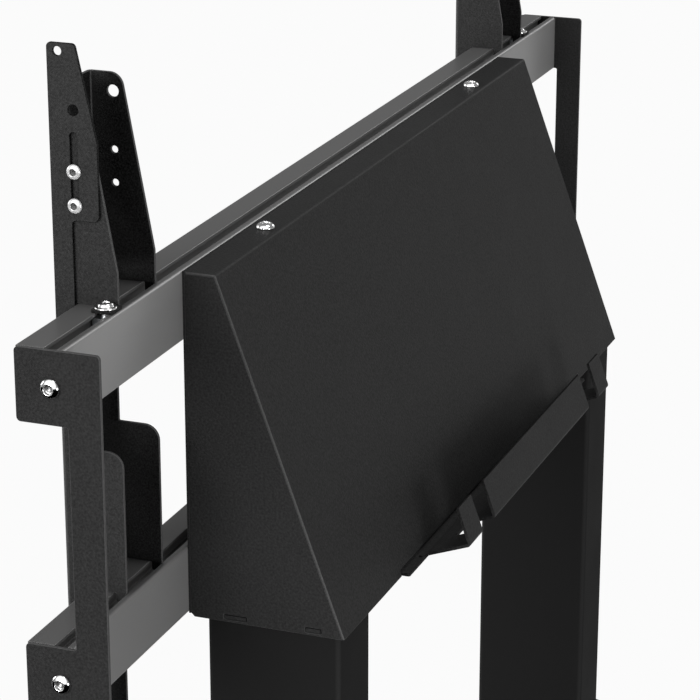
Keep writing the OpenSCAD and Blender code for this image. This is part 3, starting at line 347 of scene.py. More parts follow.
def addSpan(tree, noise):
    # the noise's usual range of 0.3 to 0.7, stretched to -1 to 1
    return addNode(tree, "MapRange", {"Value": noise.outputs["Fac"], "From Min": 0.3, "From Max": 0.7,
                                      "To Min": -1.0, "To Max": 1.0}).outputs[0]


def endGroup(group, given, result, level, rough, height, depth, reach):
    # colour x (level + painted light mask x gain), which paints highlight or shade into the colour, the
    # roughness, and the height as a bump
    rim = addMath(group, "MULTIPLY_ADD", given["Painted Light Mask"], given["Painted Light Gain"], level)
    tint = addNode(group, "VectorMath", {0: given["Colour"], "Scale": rim}, operation="SCALE")
    bump = addNode(group, "Bump", {"Height": height.outputs["Fac"], "Strength": depth, "Distance": reach})
    group.links.new(tint.outputs[0], result["Colour"])
    group.links.new(rough, result["Roughness"])
    group.links.new(bump.outputs[0], result["Normal"])
    return group


coatValues = {"fineDetail": 2.0, "fineRoughness": 0.6, "slowScale": 14.0, "slowDetail": 4.0,
              "slowShare": 0.12, "dullShare": 0.04, "bumpReach": 0.0004}


def coatGrainGroup():
    # powder coat: fine orange peel in the height, slow mottling in the colour and roughness, and painted
    # light from the mask
    v = coatValues
    group, given, result = newGroup("coatGrain", [
        ("Vector", "Vector", None), ("Colour", "Color", (0.02, 0.02, 0.02, 1)), ("Roughness", "Float", 0.5),
        ("Grain Scale", "Float", 900.0), ("Grain Depth", "Float", 0.3), ("Mottle", "Float", 0.2),
        ("Painted Light Mask", "Float", 0.0), ("Painted Light Gain", "Float", 0.0),
    ])
    fine = addNode(group, "TexNoise", {"Vector": given["Vector"], "Scale": given["Grain Scale"],
                                       "Detail": v["fineDetail"], "Roughness": v["fineRoughness"]})
    slow = addNode(group, "TexNoise", {"Vector": given["Vector"], "Scale": v["slowScale"],
                                       "Detail": v["slowDetail"]})
    slowSpan = addSpan(group, slow)
    both = addMath(group, "MULTIPLY_ADD", slowSpan, v["slowShare"], addSpan(group, fine))
    level = addMath(group, "MULTIPLY_ADD", both, given["Mottle"], 1.0)
    rough = addMath(group, "MULTIPLY_ADD", slowSpan, v["dullShare"], given["Roughness"])
    return endGroup(group, given, result, level, rough, fine, given["Grain Depth"], v["bumpReach"])


lineValues = {"detail": 3.0, "dullShare": 0.02, "bumpReach": 0.0001}


def drawnLinesGroup():
    # extruded or drawn metal: streaks that run along one axis, from noise squeezed across it; the mask paints
    # light or shade into the colour and dulls the roughness
    v = lineValues
    group, given, result = newGroup("drawnLines", [
        ("Vector", "Vector", None), ("Colour", "Color", (0.2, 0.2, 0.2, 1)), ("Roughness", "Float", 0.3),
        ("Squeeze", "Vector", (2.0, 600.0, 600.0)), ("Contrast", "Float", 0.1), ("Depth", "Float", 0.1),
        ("Painted Light Mask", "Float", 0.0), ("Painted Light Gain", "Float", 0.0), ("Edge Dull", "Float", 0.0),
    ])
    squeezed = addNode(group, "VectorMath", {0: given["Vector"], 1: given["Squeeze"]}, operation="MULTIPLY")
    lines = addNode(group, "TexNoise", {"Vector": squeezed.outputs[0], "Scale": 1.0, "Detail": v["detail"]})
    span = addSpan(group, lines)
    level = addMath(group, "MULTIPLY_ADD", span, given["Contrast"], 1.0)
    worn = addMath(group, "MULTIPLY_ADD", given["Painted Light Mask"], given["Edge Dull"], given["Roughness"])
    rough = addMath(group, "MULTIPLY_ADD", span, v["dullShare"], worn)
    return endGroup(group, given, result, level, rough, lines, given["Depth"], v["bumpReach"])


coatGrain = coatGrainGroup()
drawnLines = drawnLinesGroup()


def newPaint(name):
    paint = bpy.data.materials.new(name)
    paint.use_nodes = True
    return paint, paint.node_tree, paint.node_tree.nodes["Principled BSDF"]


def finishOf(name, group, groupValues, shaderValues):
    # an effect group feeds the colour, roughness and normal of a Principled shader
    finish, tree, shader = newPaint(name)
    place = addNode(tree, "TexCoord")
    effect = addNode(tree, "Group", node_tree=group)
    tree.links.new(place.outputs["Object"], effect.inputs["Vector"])
    if "Painted Light Gain" in groupValues:
        mask = addNode(tree, "Attribute", attribute_name="paintedLightMask")
        tree.links.new(mask.outputs["Fac"], effect.inputs["Painted Light Mask"])
    for key, value in groupValues.items():
        effect.inputs[key].default_value = value
    for key, value in shaderValues.items():
        shader.inputs[key].default_value = value
    for ours, theirs in (("Colour", "Base Color"), ("Roughness", "Roughness"), ("Normal", "Normal")):
        tree.links.new(effect.outputs[ours], shader.inputs[theirs])
    return finish


def grey(level, warm=0.0):
    return (level * (1 + warm), level, level * (1 - warm), 1)


# each coat's Painted Light Gain paints highlight where the mask is above 0 and shade where it is below 0
powderCoat = finishOf("powderCoat", coatGrain, {
    "Colour": grey(0.0215), "Roughness": 0.48, "Grain Scale": 480.0, "Grain Depth": 0.6, "Mottle": 0.3,
    "Painted Light Gain": 2.0,
}, {"Specular IOR Level": 0.034})
stripCoat = finishOf("stripCoat", coatGrain, {
    "Colour": grey(0.0250), "Roughness": 0.5, "Grain Scale": 620.0, "Grain Depth": 0.6, "Mottle": 0.34,
    "Painted Light Gain": 1.5,
}, {"Specular IOR Level": 0.04})
columnPaint = finishOf("columnPaint", coatGrain, {
    "Colour": grey(0.0122), "Roughness": 0.38, "Grain Scale": 400.0, "Grain Depth": 0.04, "Mottle": 0.04,
    "Painted Light Gain": 0.6,
}, {"Specular IOR Level": 0.003})
railFinish = finishOf("railFinish", drawnLines, {
    "Colour": grey(0.138, 0.004), "Roughness": 0.3, "Squeeze": (2.0, 500.0, 500.0), "Contrast": 0.02,
    "Depth": 0.0, "Painted Light Gain": 0.9,
}, {"Metallic": 0.45, "Specular IOR Level": 0.0})
# the platings' negative Painted Light Gain paints shade where the mask is set, as in sockets
brightPlating = finishOf("brightPlating", drawnLines, {
    "Colour": grey(0.75), "Roughness": 0.1, "Squeeze": (60.0, 60.0, 60.0), "Contrast": 0.03, "Depth": 0.0,
    "Painted Light Gain": -0.5, "Edge Dull": 0.2,
}, {"Metallic": 1.0})
satinPlating = finishOf("satinPlating", drawnLines, {
    "Colour": grey(0.7), "Roughness": 0.25, "Squeeze": (60.0, 60.0, 60.0), "Contrast": 0.03, "Depth": 0.0,
    "Painted Light Gain": -0.9, "Edge Dull": 0.3,
}, {"Metallic": 0.45})
zincPlating = finishOf("zincPlating", coatGrain, {
    "Colour": (0.52, 0.54, 0.56, 1), "Roughness": 0.34, "Grain Scale": 500.0, "Grain Depth": 0.08,
    "Mottle": 0.12,
}, {"Metallic": 1.0})
nutBrass = finishOf("nutBrass", drawnLines, {
    "Colour": (0.62, 0.43, 0.17, 1), "Roughness": 0.3, "Squeeze": (400.0, 400.0, 4.0), "Contrast": 0.08,
    "Depth": 0.08,
}, {"Metallic": 1.0})
blackPlastic = finishOf("blackPlastic", coatGrain, {
    "Colour": grey(0.02), "Roughness": 0.5, "Grain Scale": 1600.0, "Grain Depth": 0.3, "Mottle": 0.08,
}, {"Specular IOR Level": 0.35})
blackRubber = finishOf("blackRubber", coatGrain, {
    "Colour": grey(0.016), "Roughness": 0.8, "Grain Scale": 1200.0, "Grain Depth": 0.4, "Mottle": 0.25,
}, {"Specular IOR Level": 0.3})
print("stage: finishes made")

slotFinish = {
    "anodised_aluminium": railFinish, "black_powder_coat": powderCoat, "black_column_paint": columnPaint,
    "bright_plated_steel": brightPlating, "zinc_plated_steel": zincPlating, "spindle_nut_brass": nutBrass,
    "black_plastic": blackPlastic, "black_rubber": blackRubber,
}
for name, node in nodes.items():
    node.data.materials.clear()
    node.data.materials.append(slotFinish[nodeSlot[name]])


# Rails

railSizes = {"length": 1350.0, "height": 64.0, "depth": 43.0, "pitch": 260.0, "slotFront": 25.0,
             "slotRear": 36.8, "lip": 3.5, "chamberFront": 21.0, "chamberRear": 40.0, "chamberFoot": 12.5,
             "rearEdge": 3.0, "edge": 0.3, "facePaintedLight": 1.4}


def railPart():
    # a section with a T-slot in its top, carried straight along X
    s = railSizes
    section = outlineOf([
        (0, -s["height"], 1), (s["depth"], -s["height"], 1.5), (s["depth"], 0, s["rearEdge"]),
        (s["slotRear"], 0, 0.5), (s["slotRear"], -s["lip"], 0.5), (s["chamberRear"], -s["lip"], 0.5),
        (s["chamberRear"], -s["chamberFoot"], 1), (s["chamberFront"], -s["chamberFoot"], 1),
        (s["chamberFront"], -s["lip"], 0.5), (s["slotFront"], -s["lip"], 0.5), (s["slotFront"], 0, 0.5),
        (0, 0, 1),
    ])
    points, faces, normals = sheetOf([section], s["length"], s["edge"])
    normals[:, 3] = np.clip(np.abs(normals[:, 0]) * s["facePaintedLight"], 0, 1)  # painted light: every face square to Y, front, rear and the slot's walls, lighter
    return moved(oriented((points, faces, normals), "yzx"), x=-s["length"] / 2)


for name, drop in (("rail_upper", 0), ("rail_lower", railSizes["pitch"])):
    makePiece(name, moved(railPart(), z=-drop), "head")


# End brackets

bracketSizes = {"start": 675.2, "thick": 3.5, "depth": 76.0, "bar": 29.5, "corner": 4.0, "inner": 2.0,
                "edge": 0.5}


def bracketPart():
    # a flat C square to X: a lug over each rail's end, joined by a bar at the rear
    s, high, pitch = bracketSizes, railSizes["height"], railSizes["pitch"]
    barFront, foot, k = s["depth"] - s["bar"], -pitch - high, s["corner"]
    outline = outlineOf([
        (0, foot, k), (s["depth"], foot, k), (s["depth"], 0, k), (0, 0, k), (0, -high, k),
        (barFront, -high, s["inner"]), (barFront, -pitch, s["inner"]), (0, -pitch, k),
    ])
    return moved(oriented(sheetOf([outline], s["thick"], s["edge"]), "yzx"), x=s["start"])


makePiece("end_bracket_right", bracketPart(), "head")
makePiece("end_bracket_left", mirroredX(bracketPart()), "head")


# Housing: folded cover and side plates

housing = {"front": 45.0, "top": -1.0, "foot": -328.0, "topRear": 74.7, "footRear": 194.4, "half": 446.0,
           "sheet": 2.0, "seam": 0.2, "foldRadius": 2.0, "foldPaintedLight": 0.25, "corner": 0.8, "notchHalf": 295.5,
           "notchHeight": 6.0, "nose": 3.5, "tabs": [(78.0, 99.0), (157.0, 171.0)], "tabUnder": -325.0,
           "tabHeight": 3.5, "tabPlay": 0.9, "tabCorner": 0.6}
slope = math.atan((housing["footRear"] - housing["topRear"]) / (housing["top"] - housing["foot"]))


def slopeY(z, inward=0.0):
    # Y of the sloping face at height z, moved inward square to the sheet
    return housing["topRear"] + (housing["top"] - z) * math.tan(slope) - inward / math.cos(slope)


def coverPart():
    # a rectangle with a notch in its lower edge, bent once where the top meets the slope
    h, t = housing, housing["sheet"]
    level = h["top"] - t / 2
    endY, endZ = slopeY(h["foot"], t) + t / 2 * math.cos(slope), h["foot"] + t / 2 * math.sin(slope)
    path = foldPath([(h["front"], level), (slopeY(level, t / 2), level), (endY, endZ)], [h["foldRadius"]])
    end = pathStarts(path)[1][-1]
    notch = end - h["notchHeight"] / math.cos(slope)
    half, inner = h["half"], h["notchHalf"]
    pattern = outlineOf(rounded(h["corner"], [
        (0, -half), (end, -half), (end, -inner), (notch, -inner), (notch, inner), (end, inner), (end, half),
        (0, half),
    ]))
    return foldedOf(sheetOf([pattern], t, edge=0.5), path, t, "yz", foldPaintedLight=h["foldPaintedLight"])


def sidePart():
    # a five-sided plate under the cover, with a slot for each of the floor's tabs
    h, d = housing, housing["sheet"] + housing["seam"]
    top = h["top"] - d
    loops = [outlineOf(rounded(h["corner"], [
        (h["front"], h["foot"] + h["nose"]), (h["front"] + h["nose"], h["foot"]),
        (slopeY(h["foot"], d), h["foot"]), (slopeY(top, d), top), (h["front"], top),
    ]))]
    play = h["tabPlay"]
    low, high = h["tabUnder"] - play, h["tabUnder"] + h["tabHeight"] + play
    loops += [holeOf(rectangle((front - play, low), (rear + play, high), h["tabCorner"]))
              for front, rear in h["tabs"]]
    return moved(oriented(sheetOf(loops, h["sheet"]), "yzx"), x=h["half"] - h["sheet"])


makePiece("box_cover", coverPart(), "head")
makePiece("box_side_right", sidePart(), "head")
makePiece("box_side_left", mirroredX(sidePart()), "head")


# Laptop ledge: tongue, tilted shelf and three lipped fingers in one folded sheet

ledgeSizes = {"thick": 3.0, "tongueFront": 151.0, "tongueOut": 6.5, "tongueHalf": 293.0, "shelfHalf": 240.0,
              "shelf": 47.0, "root": 17.8, "lip": 39.8, "finger": 37.5, "gap": 38.5, "kneeRadius": 3.0,
              "toeRadius": 2.3, "pinHole": 1.8, "pinFromEnd": 4.5, "pinFromShelf": 10.0, "wallPaintedLight": -0.25}


def ledgePart():
    # tongue level under the floor, shelf square to the slope, and lips turned up parallel to it
    s, t = ledgeSizes, ledgeSizes["thick"]
    middle = housing["foot"] + t / 2
    tongueRear = slopeY(housing["foot"]) + s["tongueOut"]
    lost = t / 2 * math.tan(slope / 2)
    knee = tongueRear - t * math.tan(slope) - lost
    run = s["shelf"] - t / 2 - lost
    toe = (knee + run * math.cos(slope), middle + run * math.sin(slope))
    lip = s["lip"] - t / 2
    tip = (toe[0] - lip * math.sin(slope), toe[1] + lip * math.cos(slope))
    path = foldPath([(s["tongueFront"], middle), (knee, middle), toe, tip], [s["kneeRadius"], s["toeRadius"]])
    starts, ends = pathStarts(path)
    end = ends[-1]
    root = starts[1] - lost - path["short"][0] + s["root"]
    shoulder = tongueRear - s["tongueFront"]
    half, inner = s["shelfHalf"], s["shelfHalf"] - s["finger"]
    wide = inner - s["gap"]
    side = [(0, -s["tongueHalf"], 2), (shoulder, -s["tongueHalf"], 1.5), (shoulder, -half, 0.8),
            (end, -half, 0.8), (end, -inner, 0.8), (root, -inner, 1), (root, -wide, 1), (end, -wide, 0.8)]
    pattern = outlineOf(side + [(u, -w, r) for u, w, r in side[::-1]])
    pinX, pinY = shoulder - s["pinFromEnd"], half + s["pinFromShelf"]
    holes = [ringOf(pinX, way * pinY, s["pinHole"], 24) for way in (-1, 1)]
    # painted shade on the sheet's walls, the tongue's edge among them, from the negative wallPaintedLight
    return foldedOf(sheetOf([pattern] + holes, t, wallPaintedLight=s["wallPaintedLight"]), path, t, "yz")


makePiece("ledge", ledgePart(), "head")
print("stage: head made")


# Screen strips: channels whose flanges hook into the rails

stripSizes = {"right": 524.0, "left": -516.0, "width": 76.0, "thick": 3.0, "front": -21.0, "foldRadius": 3.0,
              "up": 182.0, "hornReach": 10.0, "hornFoot": 30.0, "reach": 37.3, "skin": -1.0, "gap": 0.3,
              "tabFront": 27.4, "tabRear": 36.2, "tabDepth": 7.5, "earDrop": 66.0, "down": -506.0,
              "toeReach": -4.0, "toeRise": 40.0, "rowHalf": 300, "rowStep": 100, "screenHole": 4.5,
              "holeY": 2.4, "screwHole": 3.25, "screws": (86.0, 115.0), "bigHole": 5.3, "bigHoleUp": 165.7,
              "footReach": 20.0, "footDepth": 20.0, "footThick": 2.5, "footCorner": 2.0, "footPaintedShade": -0.3,
              "clampOut": 10.5, "clampY": 30.9, "insidePaintedShade": -0.4}


def stripPart():
    # the web's row of holes lies on u = 0 and side outlines each flange; folding makes a channel of them
    s, r, t = stripSizes, railSizes, stripSizes["thick"]
    half, front = s["width"] / 2 - t / 2, s["front"] + t / 2
    path = foldPath([(0, front), (half, front), (half, s["reach"])], [s["foldRadius"]])
    bend = pathStarts(path)[0][1] - (front + s["foldRadius"])

    def at(y):
        return y + bend  # u of a flange point at the depth y

    def hook(top):
        # the flange clears the rail's front, and its tab drops into the slot in the rail's top
        rest, foot = top + s["gap"], top - s["tabDepth"]
        return [(at(s["skin"]), rest, 0.8), (at(s["tabFront"]), rest, 0.8), (at(s["tabFront"]), foot, 1.5),
                (at(s["tabRear"]), foot, 1.5), (at(s["tabRear"]), rest, 0.5), (at(s["reach"]), rest, 0.5)]

    ear = -r["height"] - s["earDrop"]
    side = [(at(s["toeReach"]), s["down"], 12), (at(s["skin"]), s["down"] + s["toeRise"], 8)]
    side += hook(-r["pitch"]) + [(at(s["reach"]), ear, 14), (at(s["skin"]), ear, 0.8)]
    side += hook(0) + [(at(s["reach"]), s["hornFoot"], 6), (at(s["hornReach"]), s["up"], 13)]
    loops = [outlineOf(side + [(-u, w, k) for u, w, k in side[::-1]])]
    middle = -r["pitch"] / 2 - r["height"] / 2
    loops += [ringOf(0, middle + step, s["screenHole"])
              for step in range(-s["rowHalf"], s["rowHalf"] + 1, s["rowStep"])]
    for way in (-1, 1):
        loops += [ringOf(way * at(s["holeY"]), z, s["screwHole"], 32) for z in s["screws"]]
        loops.append(ringOf(way * at(s["holeY"]), s["bigHoleUp"], s["bigHole"]))
    flat = sheetOf(loops, t, edge=0.5)
    flat[2][flat[0][:, 2] < 0.001, 3] = s["insidePaintedShade"]  # painted shade: darker inside the channel
    channel = foldedOf(flat, path, t, "xy", twoSided=True, foldPaintedLight=1.0)
    x0, y0 = s["width"] / 2 - 0.5, s["clampY"] - s["footDepth"] / 2
    x1, y1 = x0 + s["footReach"], y0 + s["footDepth"]
    pad = outlineOf([(x0, y0, 0.6), (x1, y0, s["footCorner"]), (x1, y1, s["footCorner"]), (x0, y1, 0.6)])
    # painted shade on the foot pad's walls
    foot = sheetOf([pad], s["footThick"], wallPaintedLight=s["footPaintedShade"])
    return joined([channel, moved(foot, z=s["gap"])])


def atStrip(part, side):
    # parts are made for the right strip's side, from its middle
    return moved(part if side == "right" else mirroredX(part), x=stripSizes[side])


extensionSizes = {"front": -19.5, "back": 23.8, "tongueBack": -1.0, "foot": -60.0, "step": 73.0,
                  "backTop": 140.0, "peak": 6.0, "up": 222.0, "slotHalf": 3.3, "slotCorner": 3.25,
                  "slotFoot": 85.7, "slotTop": 144.7, "darkHole": 4.7, "darkHoleOut": 0.6,
                  "darkHoleRise": 1.0, "topHole": 3.9, "topHoleY": -9.8, "topHoleDrop": 7.0,
                  "wallPaintedLight": -0.45}


def extensionPart():
    # a tongue that steps out to a plate, which narrows to its top and has one long slot
    e, s = extensionSizes, stripSizes
    y, slot = s["holeY"], e["slotHalf"]
    loops = [
        outlineOf([(e["front"], e["foot"], 3), (e["tongueBack"], e["foot"], 3),
                   (e["tongueBack"], e["step"], 4), (e["back"], e["step"], 6), (e["back"], e["backTop"], 8),
                   (e["peak"], e["up"], 4), (e["front"], e["up"], 4)]),
        holeOf(rectangle((y - slot, e["slotFoot"] - slot), (y + slot, e["slotTop"] + slot), e["slotCorner"])),
        ringOf(y + e["darkHoleOut"], s["bigHoleUp"] + e["darkHoleRise"], e["darkHole"]),
        ringOf(e["topHoleY"], e["up"] - e["topHoleDrop"], e["topHole"]),
    ]
    # painted shade on the plate's walls, those of its slot and holes among them
    plate = sheetOf(loops, s["thick"], edge=0.5, wallPaintedLight=e["wallPaintedLight"])
    return moved(oriented(plate, "yzx"), x=s["width"] / 2 + s["gap"])


for side in ("right", "left"):
    makePiece("strip_" + side, atStrip(stripPart(), side), "strip_" + side + "_set", finish=stripCoat)
    makePiece("extension_" + side, atStrip(extensionPart(), side), "extension_" + side + "_plate",
              finish=stripCoat)


# Button heads with hexagon sockets

headShares = {"rim": 0.16, "mouth": 1.22, "socketFoot": 0.42, "domeSteps": 10}


def buttonHeadOf(headR, headH, socketR, flangeR=0.0, flangeH=0.0):
    # rim, then an elliptic dome r = R cos a, z = rim + (H - rim) sin a, a chamfer and a hexagon socket
    rim = flangeH + headH * headShares["rim"]
    mouth = socketR * headShares["mouth"]
    a = np.linspace(0, math.acos(mouth / headR), headShares["domeSteps"])
    dome = np.stack([headR * np.cos(a), rim + (headH - rim) * np.sin(a),
                     np.cos(a) * (headH - rim), np.sin(a) * headR], 1)
    dome[:, 2:] = unitRows(dome[:, 2:])
    top = dome[-1, 1]
    if flangeR:
        rows = [(0.01, 0, 0, -1), (flangeR - 0.3, 0, 0, -1), (flangeR, 0.3, 1, 0),
                (flangeR, flangeH * 0.6, 1, 0.2), (flangeR - 0.5, flangeH * 0.95, 0.5, 1),
                (flangeR - 1, flangeH, 0, 1), (headR + 0.9, flangeH, 0, 1),
                (headR + 0.25, flangeH + 0.25, 0.7, 0.7), (headR, flangeH + 0.9, 1, 0.1)]
    else:
        rows = [(0.01, 0, 0, -1), (headR - 0.5, 0, 0, -1), (headR, 0.4, 1, 0)]
    rows += dome.tolist()
    hexFrom = len(rows)
    rows += [(mouth - 0.15, top - 0.05, -0.3, 1), (socketR, top - 0.5, -1, 0.4),
             (socketR, headH * headShares["socketFoot"], -1, 0), (socketR * 0.96, headH * 0.36, -0.3, 1),
             (socketR * 0.5, headH * 0.34, 0, 1), (socketR * 0.45, headH * 0.3, -0.6, 1),
             (0.01, headH * 0.12, -0.6, 1)]
    row = np.arange(len(rows))
    flangeFlat = (flangeR > 0) & ((row == 5) | (row == 6))
    mask = (row > hexFrom + 1) | flangeFlat  # painted shade: the socket and the flange's flat are darker
    return turnedOf(rows, 96, hexRows=range(hexFrom + 1, hexFrom + 4), mask=mask)


def shankOf(r, length):
    # from 0.2 inside the head down to a chamfered end
    rows = [(0.01, -length, 0, -1), (r - 0.8, -length, 0, -1), (r, 0.8 - length, 1, 0), (r, 0.2, 1, 0)]
    # painted shade: mask 1 darkens the whole shank under the platings' negative gain
    return turnedOf(rows, 32, mask=1.0)


boltSizes = {"shank": 5.0, "endLength": 24.0, "topLength": 12.0, "headR": 8.75, "headH": 6.0, "socket": 4.0,
             "topX": 297.0, "topY": 59.85, "bossY": 32.0}


def boltsPart():
    # at each end two along X in the bracket, and one down through the housing's top
    b, s, r = boltSizes, bracketSizes, railSizes
    head = buttonHeadOf(b["headR"], b["headH"], b["socket"])
    endBolt = oriented(joined([head, shankOf(b["shank"], b["endLength"])]), "yzx")
    endBolt = moved(endBolt, x=s["start"] + s["thick"], y=b["bossY"], z=-r["height"] / 2)
    topBolt = joined([head, shankOf(b["shank"], b["topLength"])])
    pair = [endBolt, moved(endBolt, z=-r["pitch"]),
            moved(topBolt, x=b["topX"], y=b["topY"], z=housing["top"])]
    return joined(pair + [mirroredX(p) for p in pair])


makePiece("button_bolts", boltsPart(), "head")


clampSizes = {"r": 5.0, "headR": 6.6, "headH": 5.5, "socket": 3.0, "flangeR": 9.75, "flangeH": 1.6,
              "seat": 3.1, "shank": 13.6}


def clampPart():
    # a flanged head on the foot beside the strip, with its shank down in the rail's slot
    c, s = clampSizes, stripSizes
    head = buttonHeadOf(c["headR"], c["headH"], c["socket"], c["flangeR"], c["flangeH"])
    bolt = joined([head, shankOf(c["r"], c["shank"])])
    return moved(bolt, x=s["width"] / 2 + s["clampOut"], y=s["clampY"], z=c["seat"])


screwSizes = {"r": 3.0, "headR": 6.45, "headH": 3.9, "socket": 2.9, "shank": 11.0}


def extensionScrewPart():
    # two along X, one above the other in the extension's slot
    c, s = screwSizes, stripSizes
    screw = joined([buttonHeadOf(c["headR"], c["headH"], c["socket"]), shankOf(c["r"], c["shank"])])
    screw = moved(oriented(screw, "yzx"), x=s["width"] / 2 + 2 * s["gap"] + s["thick"], y=s["holeY"])
    return joined([moved(screw, z=z) for z in s["screws"]])


for side in ("right", "left"):
    makePiece("clamp_bolt_" + side, atStrip(clampPart(), side), "clamp_bolt_" + side + "_bolt")
    makePiece("extension_screws_" + side, atStrip(extensionScrewPart(), side), "strip_" + side + "_set",
              finish=satinPlating)
print("stage: strips and bolts made")


# Columns

tubeArc = 10  # steps round a tube's corner


def tubeOf(width, depth, radius, wall, length, edge=0.4, wallPaintedLight=1.0):
    # a rounded rectangle less a smaller one, carried up by length, with its painted light mask on the
    # corners, a painted highlight along them
    inside = centred(width - 2 * wall, depth - 2 * wall, max(radius - wall, 1))
    loops = [outlineOf(centred(width, depth, radius), tubeArc), holeOf(inside, tubeArc)]
    return sheetOf(loops, length, edge, wallPaintedLight=wallPaintedLight, arcSteps=tubeArc)


def plateOf(width, depth, radius, thick, edge=0.4, holes=(), steps=3, wallPaintedLight=1.0):
    # a rounded rectangle about the origin, carried up by thick, less its holes
    return sheetOf([outlineOf(centred(width, depth, radius)), *holes], thick, edge, steps, wallPaintedLight)


def boxOf(name):
    low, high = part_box(name)
    return np.array(low) / mm, np.array(high) / mm


columnSizes = {"radius": 5.0, "wall": 3.0, "headPlate": 10.0}


def innerTubePart(name):
    # a tube of its CAD node's size with a plate across its head
    c = columnSizes
    low, high = boxOf(name)
    size, middle = high - low, (high + low) / 2
    tube = tubeOf(size[0], size[1], c["radius"], c["wall"], size[2], edge=0.5)
    plate = plateOf(size[0] - 2 * c["wall"], size[1] - 2 * c["wall"], 1, c["headPlate"], edge=0.3)
    return moved(joined([tube, moved(plate, z=size[2] - c["headPlate"])]), middle[0], middle[1], low[2])


for side in ("right", "left"):
    makePiece("inner_tube_" + side, innerTubePart("inner_tube_" + side), "head", groundPlace)
print("stage: columns made")


# Base: standing tubes, legs, cross beam and castors

baseSizes = {"columnX": 402.0, "columnY": 33.0, "legWidth": 98.0, "legHeight": 50.0, "legWall": 3.0,
             "legRadius": 5.0, "legUnder": 130.0, "legFront": -450.0, "legRear": 330.0, "capOut": 4.0,
             "capPlug": 9.0, "capPlay": 0.4, "standWall": 4.0, "standRadius": 12.0, "standTop": 860.0,
             "footWidth": 98.0, "footDepth": 213.0, "footThick": 10.0, "footBoltX": 32.0, "footBoltY": 89.5,
             "footBoltR": 5.25, "collarRim": 10.0, "collarRadius": 5.3, "collarPlay": 0.6, "plugPlay": 0.4,
             "plugRadius": 7.8, "beamDepth": 60.0, "beamHeight": 40.0, "beamPlate": 6.0,
             "beamPlateDepth": 112.0, "beamBoltY": 44.0, "beamBoltR": 4.25}
legMiddle = baseSizes["legUnder"] + baseSizes["legHeight"] / 2


def atColumn(part, side):
    # parts are made about a column's middle
    x = baseSizes["columnX"] * (1 if side == "right" else -1)
    return moved(part, x=x, y=baseSizes["columnY"])


def collarBox():
    # the collars' outer width and depth, which are the standing tube's too, and their lower end
    low, high = boxOf("guide_collars")
    return high[0] - low[0] - 2 * baseSizes["columnX"], high[1] - low[1], low[2]


def fourHoles(x, y, r):
    # circles at (x, y), (x, -y), (-x, y) and (-x, -y)
    return [ringOf(i * x, j * y, r, 32) for i in (-1, 1) for j in (-1, 1)]


def standPart():
    # a tube up from a foot plate with four bolt holes
    b = baseSizes
    width, depth, _ = collarBox()
    foot = b["legUnder"] + b["legHeight"]
    tube = tubeOf(width, depth, b["standRadius"], b["standWall"], b["standTop"] - foot - b["footThick"],
                  edge=0.5, wallPaintedLight=0.4)
    holes = fourHoles(b["footBoltX"], b["footBoltY"], b["footBoltR"])
    plate = plateOf(b["footWidth"], b["footDepth"], 6, b["footThick"], 1.0, holes, wallPaintedLight=0.4)
    return joined([moved(tube, z=foot + b["footThick"]), moved(plate, z=foot)])


def collarsPart():
    # a rim on the standing tube's end and a plug inside it, with one bore through both
    b = baseSizes
    width, depth, foot = collarBox()
    tubeLow, tubeHigh = boxOf("inner_tube_right")
    w, d, _ = tubeHigh - tubeLow + b["collarPlay"]
    bore = holeOf(centred(w, d, b["collarRadius"]))
    rim = plateOf(width, depth, b["standRadius"], b["collarRim"], 1.8, [bore], steps=5)
    wall = 2 * b["standWall"] + b["plugPlay"]
    plug = plateOf(width - wall, depth - wall, b["plugRadius"], b["standTop"] - foot, holes=[bore])
    ring = joined([moved(rim, z=b["standTop"]), moved(plug, z=foot)])
    return joined([atColumn(ring, "right"), atColumn(ring, "left")])


def legPart():
    # a tube along Y
    b = baseSizes
    tube = tubeOf(b["legHeight"], b["legWidth"], b["legRadius"], b["legWall"], b["legRear"] - b["legFront"],
                  wallPaintedLight=0.5)
    return moved(oriented(tube, "zxy"), y=b["legFront"], z=legMiddle)


def capsPart():
    # a face on each end of the leg's tube, with its plug inside
    b = baseSizes
    inset = 2 * (b["legWall"] + b["capPlay"] / 2)
    face = plateOf(b["legHeight"], b["legWidth"], b["legRadius"], b["capOut"], 1.6, steps=5)
    plug = plateOf(b["legHeight"] - inset, b["legWidth"] - inset, 2, b["capPlug"])
    caps = []
    for faceY, plugY in ((b["legFront"] - b["capOut"], b["legFront"]),
                         (b["legRear"], b["legRear"] - b["capPlug"])):
        caps += [moved(oriented(face, "zxy"), y=faceY, z=legMiddle),
                 moved(oriented(plug, "zxy"), y=plugY, z=legMiddle)]
    return joined([atColumn(joined(caps), side) for side in ("right", "left")])


def beamPart():
    # a tube along X between two plates with bolt holes
    b = baseSizes
    half = b["columnX"] - b["legWidth"] / 2
    tube = tubeOf(b["beamDepth"], b["beamHeight"], b["legRadius"], b["legWall"], 2 * (half - b["beamPlate"]),
                  wallPaintedLight=0.5)
    holes = [ringOf(way * b["beamBoltY"], 0, b["beamBoltR"], 32) for way in (-1, 1)]
    plate = plateOf(b["beamPlateDepth"], b["beamHeight"], 5, b["beamPlate"], 0.8, holes)
    parts = [moved(oriented(tube, "yzx"), x=b["beamPlate"] - half), moved(oriented(plate, "yzx"), x=-half),
             moved(oriented(plate, "yzx"), x=half - b["beamPlate"])]
    return moved(joined(parts), y=b["columnY"], z=legMiddle)


makePiece("guide_collars", collarsPart(), "base", groundPlace)
makePiece("leg_caps", capsPart(), "base", groundPlace)
makePiece("cross_beam", beamPart(), "base", groundPlace)
for side in ("right", "left"):
    makePiece("leg_" + side, atColumn(legPart(), side), "base", groundPlace)
    makePiece("outer_tube_" + side, atColumn(standPart(), side), "base", groundPlace)


